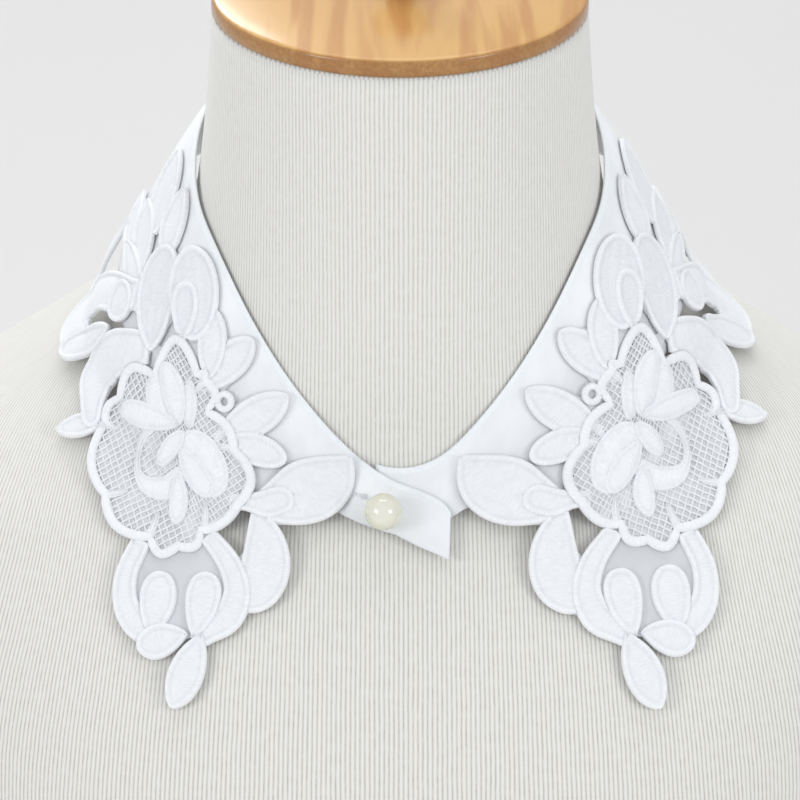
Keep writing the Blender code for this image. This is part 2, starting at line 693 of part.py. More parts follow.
class Motif:
    """One satin shape of the lace: its outline, the lines drawn in it, and how high it stands."""

    def __init__(self, outline, rise, spine=(), cord=False):
        area = np.cross(outline, np.roll(outline, -1, axis=0)).sum()
        self.outline = outline if area > 0 else outline[::-1]
        self.rise = rise
        self.cord = cord
        self.lines = [(self.outline, True), (inset_ring(self.outline, INSET), True)]
        if cord:
            self.lines.append((inset_ring(self.outline, ROSE_CORD_WIDTH), True))
        if len(spine):
            self.lines.append((np.array(spine), False))
        width = 2 * distance(self.outline.mean(axis=0)[None], self.outline)[0]
        self.half = max(width / 2, INSET)

    def lift(self, depth):
        """How far the wall stands above its ground at a depth inside the outline."""
        if self.cord:
            height = np.clip(1 - np.abs(depth - INSET) / INSET, 0, 1)
            return self.rise * np.where(depth < INSET, EDGE_SHARE + (1 - EDGE_SHARE) * height, height)
        rim = EDGE_SHARE + (1 - EDGE_SHARE) * np.clip(depth / INSET, 0, 1)
        crown = CROWN_SHARE * np.clip((depth - INSET) / self.half, 0, 1)
        return self.rise * (rim + crown)


def leaf_motif(leaf):
    """A leaf or petal on a swept midrib."""
    base = np.array([leaf.base_x, leaf.base_y])
    tip = np.array([leaf.tip_x, leaf.tip_y])
    side = np.array([base[1] - tip[1], tip[0] - base[0]])
    side = side / np.linalg.norm(side)
    t = (1 - np.cos(np.linspace(0, math.pi, LEAF_SIDE_POINTS + 2))) / 2
    midrib = base + (tip - base) * t[:, None] + side * (4 * leaf.bend * t * (1 - t))[:, None]
    slope = (tip - base) + side * (4 * leaf.bend * (1 - 2 * t))[:, None]
    normal = np.stack([-slope[:, 1], slope[:, 0]], axis=1)
    normal = normal / np.linalg.norm(normal, axis=1, keepdims=True)
    swell = (t / leaf.belly) ** (leaf.sharpness * leaf.belly)
    swell *= ((1 - t) / (1 - leaf.belly)) ** (leaf.sharpness * (1 - leaf.belly))
    half = (leaf.width / 2 * swell)[:, None]
    left = midrib + normal * half
    right = midrib - normal * half
    outline = np.concatenate([left, right[-2:0:-1]])
    spine = midrib[2:-2] if leaf.width > 7 else ()
    return Motif(outline, leaf.rise, spine)


def scroll_motif(points, rise):
    """A band of satin along a curved line, with a round end."""
    table = np.array(points, float)
    ends = np.concatenate([2 * table[:1] - table[1:2], table, 2 * table[-1:] - table[-2:-1]])
    rows = []
    for i in range(1, len(ends) - 2):
        count = max(2, int(round(np.linalg.norm(ends[i + 1, :2] - ends[i, :2]) / SCROLL_STEP)))
        for t in np.arange(count) / count:
            before, start, end, after = ends[i - 1:i + 3]
            rows.append(0.5 * (2 * start + (end - before) * t
                               + (2 * before - 5 * start + 4 * end - after) * t**2
                               + (3 * start - before - 3 * end + after) * t**3))
    rows.append(table[-1])
    rows = np.array(rows)
    slope = np.gradient(rows[:, :2], axis=0)
    slope = slope / np.linalg.norm(slope, axis=1, keepdims=True)
    normal = np.stack([-slope[:, 1], slope[:, 0]], axis=1)
    half = rows[:, 2:] / 2
    left = rows[:, :2] + normal * half
    right = rows[:, :2] - normal * half
    turn = np.radians([60, 20, -20, -60])[:, None]
    cap = rows[-1, :2] + (slope[-1] * np.cos(turn) + normal[-1] * np.sin(turn)) * half[-1]
    return Motif(np.concatenate([left, cap, right[::-1]]), rise, rows[1:, :2])


def rose_motif():
    """The net-filled rose with its scalloped, corded edge."""
    centre = np.array(ROSE_CENTRE)
    angle = np.radians([s.angle for s in ROSE_SCALLOPS])
    reach = np.array([s.reach for s in ROSE_SCALLOPS])
    notches = centre + np.stack([np.cos(angle), np.sin(angle)], axis=1) * reach[:, None]
    outline = []
    for k, scallop in enumerate(ROSE_SCALLOPS):
        start, end = notches[k], notches[(k + 1) % len(notches)]
        out = np.array([end[1] - start[1], start[0] - end[0]])
        out = out / np.linalg.norm(out)
        for t in np.arange(SCALLOP_POINTS) / SCALLOP_POINTS:
            bulge = math.sin(math.pi * t) ** 0.8 * scallop.bulge
            outline.append(start + (end - start) * t + out * bulge)
    return Motif(np.array(outline), ROSE_CORD_RISE, cord=True)


def lace_motifs():
    """Every motif of one front lace, lowest first."""
    scrolls = [LEAF_STALK, SHOULDER_SCROLL, SHOULDER_SWEEP, SCROLL_LEFT, SCROLL_RIGHT]
    motifs = [leaf_motif(leaf) for leaf in LOW_LEAVES]
    motifs += [scroll_motif(points, SCROLL_RISE) for points in scrolls]
    motifs += [leaf_motif(leaf) for leaf in HIGH_LEAVES]
    motifs.append(rose_motif())
    motifs.append(scroll_motif(HEART_SWEEP, HEART_SWEEP_RISE))
    motifs += [leaf_motif(leaf) for leaf in HEART_PETALS]
    return motifs


class LaceCut:
    """The flat lace: motifs laid over each other, cut out along their edges."""

    def __init__(self):
        self.motifs = lace_motifs()
        self.sheer = np.array(SHEER_OUTLINE, float)
        points, edges = self.drawing()
        self.points, faces = self.triangles(points, edges, WELD)
        self.faces = self.without_pinches(self.kept(faces))
        self.compact()
        self.lifts = LACE_GROUND / MM + self.heights(self.points)
        self.inner_points, self.inner_faces, self.partner = self.plain_inside()

    @staticmethod
    def triangles(points, edges, weld):
        """The triangles of a plane drawing, with every edge of it kept."""
        found = delaunay_2d_cdt([Vector(p) for p in points], edges, [], 0, weld)
        return np.array([tuple(p) for p in found[0]]), [tuple(face) for face in found[2]]

    def cloth_at(self, points):
        """Whether each point has lace at all."""
        there = inside(points, self.sheer)
        for motif in self.motifs:
            there |= inside(points, motif.outline)
        return there

    def drawing(self):
        """The points and edges to triangulate, with each motif clipped by those above it."""
        points, edges = [], []
        for k, motif in enumerate(self.motifs):
            for line, closed in motif.lines:
                hidden = np.zeros(len(line), bool)
                for upper in self.motifs[k + 1:]:
                    hidden |= inside(line, upper.outline) | (distance(line, upper.outline) < CROSSING_MARGIN)
                first = len(points)
                points += [tuple(p) for p in line]
                stop = len(line) if closed else len(line) - 1
                for i in range(stop):
                    j = (i + 1) % len(line)
                    if not hidden[i] and not hidden[j]:
                        edges.append((first + i, first + j))
        used = sorted({v for edge in edges for v in edge})
        renumber = {v: i for i, v in enumerate(used)}
        points = [points[v] for v in used]
        edges = [(renumber[a], renumber[b]) for a, b in edges]
        points += self.fill_points(np.array(points), GROUND_SPACING, GROUND_SPACING / 2)
        low, high = np.min(points, axis=0) - 10, np.max(points, axis=0) + 10
        points += [(low[0], low[1]), (high[0], low[1]), (high[0], high[1]), (low[0], high[1])]
        return points, edges

    def fill_points(self, drawn, spacing, clear):
        """Evenly spaced points on the cloth, clear of the points already drawn."""
        low, high = drawn.min(axis=0), drawn.max(axis=0)
        rows = np.arange(low[1], high[1], spacing * math.sqrt(3) / 2)
        grid = [(x + (r % 2) * spacing / 2, y)
                for r, y in enumerate(rows)
                for x in np.arange(low[0], high[0], spacing)]
        grid = np.array(grid)
        grid = grid[self.cloth_at(grid)]
        near = np.array([np.min(np.linalg.norm(drawn - p, axis=1)) for p in grid])
        return [tuple(p) for p in grid[near > clear]]

    def kept(self, faces):
        """The triangles that are cloth, with gaps too small to cut filled in."""
        middles = np.array([self.points[list(face)].mean(axis=0) for face in faces])
        cloth = self.cloth_at(middles)
        neighbours = {}
        for f, face in enumerate(faces):
            for k in range(3):
                edge = frozenset((face[k], face[(k + 1) % 3]))
                neighbours.setdefault(edge, []).append(f)
        seen = set()
        for start in range(len(faces)):
            if cloth[start] or start in seen:
                continue
            gap, open_side, rim = [start], False, 0.0
            seen.add(start)
            for f in gap:
                for k in range(3):
                    edge = frozenset((faces[f][k], faces[f][(k + 1) % 3]))
                    others = [g for g in neighbours[edge] if g != f]
                    open_side |= not others
                    for g in others:
                        if cloth[g]:
                            a, b = edge
                            rim += np.linalg.norm(self.points[a] - self.points[b])
                        elif g not in seen:
                            seen.add(g)
                            gap.append(g)
            if not open_side and 4 * self.area(faces, gap) / rim < SMALLEST_HOLE:
                cloth[gap] = True
        self.all_faces = faces
        return {f for f in range(len(faces)) if cloth[f]}

    def area(self, faces, chosen):
        """The area of some of the triangles."""
        total = 0.0
        for f in chosen:
            a, b, c = self.points[list(faces[f])]
            total += abs((b[0] - a[0]) * (c[1] - a[1]) - (b[1] - a[1]) * (c[0] - a[0])) / 2
        return total

    def without_pinches(self, kept):
        """The kept triangles with cloth added where two parts would meet at one point only."""
        around = {}
        for f, face in enumerate(self.all_faces):
            for v in face:
                around.setdefault(v, []).append(f)
        pinched = True
        while pinched:
            pinched = False
            border = border_of([self.all_faces[f] for f in kept])
            starts = {}
            for a, _ in border:
                starts[a] = starts.get(a, 0) + 1
            for v in [v for v, count in starts.items() if count > 1]:
                gap = min(self.fans(v, [f for f in around[v] if f not in kept]), key=self.spread(v))
                kept.update(gap)
                pinched = True
        return [self.all_faces[f] for f in sorted(kept)]

    def fans(self, v, faces):
        """The faces round a point grouped into those that share an edge there."""
        groups = []
        for f in faces:
            spokes = set(self.all_faces[f]) - {v}
            joined = [g for g in groups if g[0] & spokes]
            groups = [g for g in groups if not g[0] & spokes]
            groups.append((spokes.union(*[g[0] for g in joined]), [f] + sum([g[1] for g in joined], [])))
        return [g[1] for g in groups] or [[]]

    def spread(self, v):
        """A measure of the angle that a fan of faces fills at a point."""
        def angle(fan):
            total = 0.0
            for f in fan:
                a, b = [self.points[w] - self.points[v] for w in self.all_faces[f] if w != v]
                total += math.acos(np.clip(a @ b / np.linalg.norm(a) / np.linalg.norm(b), -1, 1))
            return total
        return angle

    def compact(self):
        """Drop the points that no kept triangle uses."""
        used = sorted({v for face in self.faces for v in face})
        renumber = {v: i for i, v in enumerate(used)}
        self.points = self.points[used]
        self.faces = [tuple(renumber[v] for v in face) for face in self.faces]

    def heights(self, points):
        """How far each point stands above the ground, by the topmost motif there."""
        height = np.zeros(len(points))
        for motif in self.motifs:
            depth = distance(points, motif.outline)
            there = inside(points, motif.outline) | (depth < WELD)
            height = np.where(there, motif.lift(depth), height)
        return height

    def plain_inside(self):
        """A sparse triangulation inside the same border, for the lace's flat back."""
        border = border_of(self.faces)
        rim = sorted({v for edge in border for v in edge})
        partner = {v: i for i, v in enumerate(rim)}
        edges = [(partner[a], partner[b]) for a, b in border]
        drawn = self.points[rim]
        points = [tuple(p) for p in drawn]
        points += self.fill_points(drawn, INSIDE_SPACING, INSIDE_SPACING / 3)
        found = delaunay_2d_cdt([Vector(p) for p in points], edges, [], 0, 1e-6)
        back = {i: orig[0] for i, orig in enumerate(found[3])}
        faces = [tuple(back[v] for v in face) for face in found[2]]
        points = np.array(points)
        starts, ends = self.points[[a for a, _ in border]], self.points[[b for _, b in border]]
        middles = np.array([points[list(face)].mean(axis=0) for face in faces])
        x, y = middles[:, :1], middles[:, 1:]
        crosses = (starts[:, 1] > y) != (ends[:, 1] > y)
        rise = np.where(ends[:, 1] == starts[:, 1], 1.0, ends[:, 1] - starts[:, 1])
        right = x < starts[:, 0] + (y - starts[:, 1]) * (ends[:, 0] - starts[:, 0]) / rise
        cloth = (crosses & right).sum(axis=1) % 2 == 1
        return points, [face for face, keep in zip(faces, cloth) if keep], partner


def on_surface(net, place, points, lifts):
    """Chart points (mm) laid on the collar's surface of the form's left side, and lifted."""
    facing = np.array(CHART_FACING) / np.linalg.norm(CHART_FACING)
    across = np.array([1.0, 0.0, 0.0]) - facing[0] * facing
    across = across / np.linalg.norm(across)
    up = np.cross(facing, across)
    x = points[:, 0] * place.wide + points[:, 1] * place.lean + place.across
    y = points[:, 0] * place.drop + points[:, 1] * place.high + place.up
    start = np.array(CHART_ORIGIN) + facing * CHART_STANDOFF
    starts = (start + x[:, None] * across + y[:, None] * up) * MM
    found = []
    for begin, lift in zip(starts, lifts):
        hit, normal = net.under(begin, -facing)
        found.append(hit + normal * (OVER_BAND + lift * MM))
    return np.array(found)


def add_laces(net):
    """The two front laces, a mirrored pair laid over the band and the shoulders."""
    cut = LaceCut()
    for place in LACE_PLACES:
        outer = on_surface(net, place, cut.points, cut.lifts)
        inner = on_surface(net, place, cut.inner_points, np.zeros(len(cut.inner_points)))
        add_wall(place.name, outer, inner, cut.faces, cut.inner_faces, cut.partner, place.side < 0)


def main():
    """Build every piece in an empty scene."""
    for old in list(bpy.data.objects):
        bpy.data.objects.remove(old)
    add_form()
    add_cap_and_knob()
    net = CollarNet()
    add_band(net)
    add_pearl(net)
    add_laces(net)


main()
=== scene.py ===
"""Dresses a lace collar on a dress form: jersey, organza band, embroidered lace, pearl and wood.

Lengths in tables are millimetres and angles are degrees; everything built is in metres.
"""

import logging
import math
import random
from dataclasses import dataclass
from enum import Enum
from typing import Callable, Iterable, NamedTuple, Sequence

import bpy
import numpy as np
from mathutils import Matrix, Vector
from mathutils.bvhtree import BVHTree

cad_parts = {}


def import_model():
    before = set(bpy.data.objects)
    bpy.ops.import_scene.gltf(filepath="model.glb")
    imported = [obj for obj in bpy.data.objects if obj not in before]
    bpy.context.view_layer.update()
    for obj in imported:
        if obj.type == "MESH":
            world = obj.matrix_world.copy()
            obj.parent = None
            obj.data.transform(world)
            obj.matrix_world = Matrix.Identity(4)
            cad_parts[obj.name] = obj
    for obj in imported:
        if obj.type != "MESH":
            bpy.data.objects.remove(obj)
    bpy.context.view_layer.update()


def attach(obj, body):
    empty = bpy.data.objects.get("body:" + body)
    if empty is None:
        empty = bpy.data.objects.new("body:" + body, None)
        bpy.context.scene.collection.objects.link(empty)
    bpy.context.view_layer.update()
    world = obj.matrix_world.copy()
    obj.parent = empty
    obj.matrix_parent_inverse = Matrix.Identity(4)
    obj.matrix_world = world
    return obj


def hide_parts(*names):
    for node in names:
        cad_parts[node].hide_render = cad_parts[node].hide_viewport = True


LOG = logging.getLogger("collar")
MM = 0.001
ROOT = "root"
Array = np.ndarray
Colour = tuple[float, float, float]


class Section(NamedTuple):
    """One cross-section of the form; the tilt is forward."""

    height: float
    tilt: float
    half_width: float
    front: float
    back: float
    centre: float
    squareness: float


class NecklinePoint(NamedTuple):
    """The collar's upper edge at an azimuth from the centre front."""

    azimuth: float
    height: float
    standoff: float


class BowPoint(NamedTuple):
    """How far the collar's sides and back stand off the shoulder's slope at a reach."""

    reach: float
    rise: float


class BandWidth(NamedTuple):
    """How far the organza reaches below the neckline at an azimuth."""

    azimuth: float
    width: float


class TabRow(NamedTuple):
    """A row across the band or its tab, from its upper edge to its lower one."""

    top_azimuth: float
    top: float
    bottom_azimuth: float
    bottom: float
    lift: float


class LacePlace(NamedTuple):
    """Where a lace lies on the chart: stretched, leant, dropped and moved."""

    name: str
    side: int
    wide: float
    lean: float
    across: float
    drop: float
    high: float
    up: float


class Stitch(Enum):
    """How a motif is filled inside its corded rim."""

    SATIN = "satin"
    SHEER = "sheer"
    HEART = "heart"


class Leaf(NamedTuple):
    """A leaf or petal on a swept midrib, drawn on the chart."""

    base_x: float
    base_y: float
    tip_x: float
    tip_y: float
    width: float
    bend: float
    belly: float
    sharpness: float
    level: float
    stitch: Stitch = Stitch.SATIN


class ScrollPoint(NamedTuple):
    """A point of a scroll's middle line and the scroll's width there."""

    x: float
    y: float
    width: float


class Spur(NamedTuple):
    """A short cord run in from a numbered notch of the rose."""

    notch: int
    length: float
    heading: float


class Scallop(NamedTuple):
    """A scallop of the rose, from its first notch as seen from the rose's centre."""

    angle: float
    reach: float
    bulge: float


SECTIONS = [
    Section(0, 0, 158, 104, 112, 0, 2.3),
    Section(55, 0, 165, 108, 122, 0, 2.3),
    Section(140, 0, 150, 98, 104, 0, 2.3),
    Section(245, 0, 120, 82, 80, 0, 2.2),
    Section(335, 0, 131, 104, 90, 0, 2.2),
    Section(410, 0, 145, 122, 100, 0, 2.2),
    Section(475, 0, 156, 112, 106, 0, 2.3),
    Section(528, 2, 170, 92, 102, 0, 2.4),
    Section(560, 6, 170, 72, 92, 0, 2.4),
    Section(580, 12, 142, 62, 80, 0, 2.3),
    Section(596, 18, 112, 57, 68, 0, 2.2),
    Section(611, 22, 85, 54, 60, -1, 2.1),
    Section(629, 22, 67, 54, 56, -3, 2.0),
    Section(651, 18, 61, 54, 56, -6, 2.0),
    Section(680, 14, 57.5, 55, 56, -11, 2.0),
    Section(705, 12, 55.5, 55.5, 56, -16, 2.0),
]

NECKLINE = [
    NecklinePoint(0, 574.3, 0.4),
    NecklinePoint(8, 575.8, 0.4),
    NecklinePoint(15, 580.7, 0.4),
    NecklinePoint(24, 590.5, 0.5),
    NecklinePoint(39, 608.0, 0.6),
    NecklinePoint(48, 618.5, 0.7),
    NecklinePoint(57, 628.7, 0.8),
    NecklinePoint(67, 638.2, 0.9),
    NecklinePoint(80, 646.5, 1.0),
    NecklinePoint(97, 660.5, 1.2),
    NecklinePoint(114, 672.0, 1.2),
    NecklinePoint(145, 683.0, 1.2),
    NecklinePoint(180, 686.0, 1.2),
]

BOW = [
    BowPoint(0, 0.0),
    BowPoint(8, 2.2),
    BowPoint(16, 3.8),
    BowPoint(26, 5.0),
    BowPoint(36, 6.0),
    BowPoint(44, 6.4),
    BowPoint(56, 4.6),
    BowPoint(70, 1.5),
    BowPoint(82, 0.0),
]

BAND_WIDTHS = [
    BandWidth(0, 19.0),
    BandWidth(14, 19.0),
    BandWidth(20, 25.0),
    BandWidth(27, 36.0),
    BandWidth(36, 41.0),
    BandWidth(60, 41.0),
    BandWidth(78, 38.0),
    BandWidth(95, 35.0),
    BandWidth(125, 35.0),
    BandWidth(180, 37.0),
]

TAB_ROWS = [
    TabRow(-11.4, 0.6, -13.1, 19.4, 0.5),
    TabRow(-8.0, 1.8, -10.6, 19.5, 1.8),
    TabRow(-4.8, 3.0, -8.2, 19.5, 1.8),
    TabRow(-1.7, 4.4, -5.8, 19.6, 1.8),
    TabRow(0.7, 5.6, -3.4, 20.0, 1.8),
    TabRow(2.9, 6.8, -1.2, 20.6, 1.8),
    TabRow(5.4, 8.6, 1.2, 22.4, 1.8),
    TabRow(7.7, 10.9, 3.6, 24.6, 1.8),
    TabRow(10.0, 14.2, 7.1, 28.0, 1.8),
    TabRow(11.3, 17.7, 9.6, 31.4, 1.8),
]

LACE_PLACES = [
    LacePlace("lace_front_left", 1, 1.0, 0.0, 0.0, 0.0, 1.0, 0.0),
    LacePlace("lace_front_right", -1, 0.935, 0.03, -6.0, -0.07, 0.952, -3.9),
]

LOW_LEAVES = [
    Leaf(-20.0, -24.5, -53.3, -12.0, 18.0, 5.2, 0.56, 1.95, 0.2),
    Leaf(-24.0, -25.5, -16.6, -56.0, 14.5, -4.5, 0.56, 1.30, 0.0),
    Leaf(-15.5, -5.0, -40.4, 5.0, 10.6, 1.0, 0.54, 1.50, 0.2),
    Leaf(-17.0, -5.6, -35.8, -13.6, 9.4, -0.8, 0.60, 1.30, 0.1),
    Leaf(-14.5, 10.0, -34.6, 20.8, 10.0, 0.3, 0.56, 1.40, 0.2),
    Leaf(-18.0, 12.5, -24.8, 31.0, 9.2, 0.3, 0.52, 1.25, 0.1),
    Leaf(18.0, 10.6, 36.4, 11.2, 8.2, 0.0, 0.55, 1.60, 0.2),
    Leaf(-8.0, 61.0, -17.0, 90.0, 12.0, -1.2, 0.50, 1.30, -0.1, Stitch.SHEER),
    Leaf(-1.5, 50.0, -3.5, 79.0, 10.0, 0.0, 0.50, 1.40, 0.0, Stitch.SHEER),
    Leaf(4.5, 63.0, 1.0, 88.0, 8.5, -1.0, 0.50, 1.50, 0.0, Stitch.SHEER),
    Leaf(0.5, 36.0, 5.5, 67.0, 7.5, 1.4, 0.52, 1.40, 0.1),
    Leaf(26.0, 62.0, 6.0, 77.5, 6.6, -3.0, 0.45, 1.40, 0.1),
    Leaf(-12.0, 50.5, -20.2, 72.5, 9.4, -1.0, 0.45, 1.35, 0.2),
]

SHOULDER_SCROLL = [
    ScrollPoint(0.5, 43.5, 9.0),
    ScrollPoint(6.5, 46.5, 12.0),
    ScrollPoint(14.5, 53.2, 13.0),
    ScrollPoint(22.8, 55.6, 15.8),
    ScrollPoint(29.0, 51.3, 15.2),
    ScrollPoint(29.6, 43.5, 13.0),
]
SHOULDER_SWEEP = [
    ScrollPoint(-1.0, 26.0, 9.0),
    ScrollPoint(7.0, 28.4, 13.0),
    ScrollPoint(14.0, 29.0, 16.0),
    ScrollPoint(20.0, 25.0, 14.5),
    ScrollPoint(22.6, 18.5, 9.5),
    ScrollPoint(23.6, 12.5, 7.0),
]
LEAF_STALK = [
    ScrollPoint(-17.0, -22.8, 4.6),
    ScrollPoint(-22.0, -23.8, 5.0),
    ScrollPoint(-27.5, -25.0, 8.0),
    ScrollPoint(-32.0, -24.4, 8.0),
]
SCROLL_LEFT = [
    ScrollPoint(-8.5, -31.0, 6.0),
    ScrollPoint(-13.6, -40.5, 7.4),
    ScrollPoint(-14.8, -49.5, 8.0),
    ScrollPoint(-11.2, -57.2, 9.0),
    ScrollPoint(-3.5, -61.2, 7.5),
]
SCROLL_RIGHT = [
    ScrollPoint(11.5, -30.0, 6.0),
    ScrollPoint(17.2, -39.5, 6.8),
    ScrollPoint(18.6, -48.5, 7.6),
    ScrollPoint(16.0, -55.5, 8.6),
    ScrollPoint(10.5, -60.2, 7.5),
]
HEART_SWEEP = [
    ScrollPoint(3.0, 4.2, 3.4),
    ScrollPoint(7.4, 1.2, 2.2),
    ScrollPoint(10.2, -4.2, 1.8),
    ScrollPoint(10.4, -9.4, 2.8),
    ScrollPoint(7.6, -13.4, 6.4),
    ScrollPoint(2.5, -14.6, 7.6),
    ScrollPoint(-3.0, -12.0, 5.5),
]

HIGH_LEAVES = [
    Leaf(6.8, 52.0, 9.2, 38.4, 10.5, -0.6, 0.55, 1.10, 0.3),
    Leaf(36.0, 42.0, 12.8, 38.2, 11.0, 0.0, 0.42, 1.00, 0.4),
    Leaf(-1.5, 25.0, -12.0, 55.0, 14.8, -0.5, 0.58, 1.10, 0.2, Stitch.SHEER),
    Leaf(-15.5, 24.0, -19.5, 51.0, 16.5, 1.8, 0.52, 1.05, 0.4, Stitch.SHEER),
    Leaf(-12.5, 24.5, -17.5, 40.8, 9.0, 0.5, 0.62, 1.15, 0.9, Stitch.SHEER),
    Leaf(-0.5, -62.0, -6.2, -42.5, 10.5, 0.8, 0.62, 1.10, 0.3),
    Leaf(12.5, -59.0, 7.8, -40.5, 11.0, 1.2, 0.58, 1.05, 0.3),
    Leaf(1.0, -61.0, 16.5, -63.6, 10.0, 0.8, 0.60, 1.30, 0.5),
    Leaf(-3.0, -61.5, 9.6, -80.6, 10.5, -0.5, 0.55, 1.40, 0.6),
]
HEART_PETALS = [
    Leaf(-7.0, -0.5, -13.2, -20.8, 13.0, -1.6, 0.54, 0.95, 0.3, Stitch.HEART),
    Leaf(-5.0, -4.5, -12.4, -20.2, 7.6, 0.4, 0.58, 1.05, 0.8, Stitch.HEART),
    Leaf(-9.2, 0.2, -12.6, 13.6, 5.2, -0.4, 0.50, 1.20, 0.5, Stitch.HEART),
    Leaf(-3.0, 3.5, -3.2, 19.6, 7.4, -2.6, 0.52, 1.10, 0.2, Stitch.HEART),
    Leaf(-6.0, 2.0, -5.0, 20.6, 7.6, 1.0, 0.52, 1.15, 0.7, Stitch.HEART),
    Leaf(-6.0, 2.2, 12.0, 12.8, 7.6, -0.6, 0.66, 0.90, 0.9, Stitch.HEART),
    Leaf(-2.6, -11.6, 1.4, -26.8, 6.4, -0.6, 0.50, 1.10, 0.8, Stitch.HEART),
    Leaf(-7.6, -0.2, 3.0, -7.8, 6.0, 0.6, 0.50, 1.20, 1.1, Stitch.HEART),
]

ROSE_CENTRE = (-0.5, -4.0)
ROSE = [
    Scallop(34.2, 25.1, 2.6),
    Scallop(57.3, 25.2, 5.6),
    Scallop(91.4, 23.2, 10.0),
    Scallop(129.0, 25.0, 1.4),
    Scallop(137.0, 24.6, 2.8),
    Scallop(155.0, 18.6, 2.4),
    Scallop(191.2, 22.8, 4.6),
    Scallop(226.3, 29.1, 2.0),
    Scallop(255.6, 27.6, 2.9),
    Scallop(272.7, 31.0, 4.0),
    Scallop(291.2, 28.8, 4.7),
    Scallop(335.4, 25.5, 4.9),
]
RING_PICOT = (-21.7, 5.3)
ROSE_SPURS = [
    Spur(0, 5.0, 214.0),
    Spur(2, 3.5, 282.0),
    Spur(4, 5.5, 330.0),
    Spur(6, 5.0, 12.0),
    Spur(8, 8.5, 104.0),
    Spur(10, 8.5, 114.0),
    Spur(11, 7.0, 174.0),
]


def smooth_rows(rows: Sequence[tuple], steps: int) -> Array:
    """Rows with more between each two, on curves that never overshoot.

    Args:
        rows: the table's rows.
        steps: how many stretches each gap is cut into.

    Returns:
        The rows as an array.
    """
    table = np.array(rows, float)
    slopes = np.diff(table, axis=0)
    ends = np.zeros_like(table)
    ends[0], ends[-1] = slopes[0], slopes[-1]
    same_way = slopes[:-1] * slopes[1:] > 0
    total = np.where(same_way, slopes[:-1] + slopes[1:], 1.0)
    ends[1:-1] = np.where(same_way, 2 * slopes[:-1] * slopes[1:] / total, 0.0)
    found = []
    for i in range(len(table) - 1):
        for t in np.arange(steps) / steps:
            found.append(
                table[i] * (2 * t**3 - 3 * t**2 + 1)
                + table[i + 1] * (3 * t**2 - 2 * t**3)
                + ends[i] * (t**3 - 2 * t**2 + t)
                + ends[i + 1] * (t**3 - t**2)
            )
    return np.array(found + [table[-1]])


def unit(vectors: Array) -> Array:
    """Vectors scaled to length one.

    Args:
        vectors: vectors along the last axis.

    Returns:
        The unit vectors.
    """
    return vectors / np.maximum(np.linalg.norm(vectors, axis=-1, keepdims=True), 1e-12)


def within(points: Array, outline: Array) -> Array:
    """Which points lie inside a closed outline.

    Args:
        points: points in the plane.
        outline: the outline's points.

    Returns:
        A mask.
    """
    x, y = points[:, :1], points[:, 1:]
    x0, y0 = outline[:, 0], outline[:, 1]
    x1, y1 = np.roll(x0, -1), np.roll(y0, -1)
    crosses = (y0 > y) != (y1 > y)
    rise = np.where(y1 == y0, 1.0, y1 - y0)
    return (crosses & (x < x0 + (y - y0) * (x1 - x0) / rise)).sum(axis=1) % 2 == 1


def grid_faces(rows: int, columns: int, closed: bool = False) -> list[tuple]:
    """Quads between neighbouring rows and columns of a grid of points.

    Args:
        rows: how many rows there are.
        columns: how many points a row has.
        closed: whether the last column joins the first.

    Returns:
        The quads, facing the side where rows run up and columns run left to right.
    """
    found = []
    for i in range(rows - 1):
        for j in range(columns if closed else columns - 1):
            k = (j + 1) % columns
            a, b = i * columns, (i + 1) * columns
            found.append((a + j, a + k, b + k, b + j))
    return found


class FormShape:
    """The dress form's skin, the same as its solid but finer.

    Args:
        sides: points round each ring.
        steps: rings for each row of the table.
    """

    def __init__(self, sides: int, steps: int) -> None:
        self.sides = sides
        self.rows = smooth_rows(SECTIONS, steps)
        self.grid = np.array([self.ring(row) for row in self.rows])

    def ring(self, row: Array) -> Array:
        """One cross-section.

        Args:
            row: the section's values.

        Returns:
            Its points from the front round by the form's left.
        """
        height, tilt, half_width, front, back, centre, squareness = row
        angle = np.linspace(0, 2 * math.pi, self.sides, endpoint=False)
        across, along = np.sin(angle), np.cos(angle)
        x = half_width * np.sign(across) * np.abs(across) ** (2 / squareness)
        depth = np.where(along > 0, front, back)
        y = -depth * np.sign(along) * np.abs(along) ** (2 / squareness)
        z = height + math.tan(math.radians(tilt)) * y
        return np.stack([x, y + centre, z], axis=1) * MM

    def tree(self) -> BVHTree:
        """A search tree of the skin.

        Returns:
            The tree.
        """
        faces = grid_faces(len(self.grid), self.sides, True)
        return BVHTree.FromPolygons([Vector(p) for p in self.grid.reshape(-1, 3)], faces)


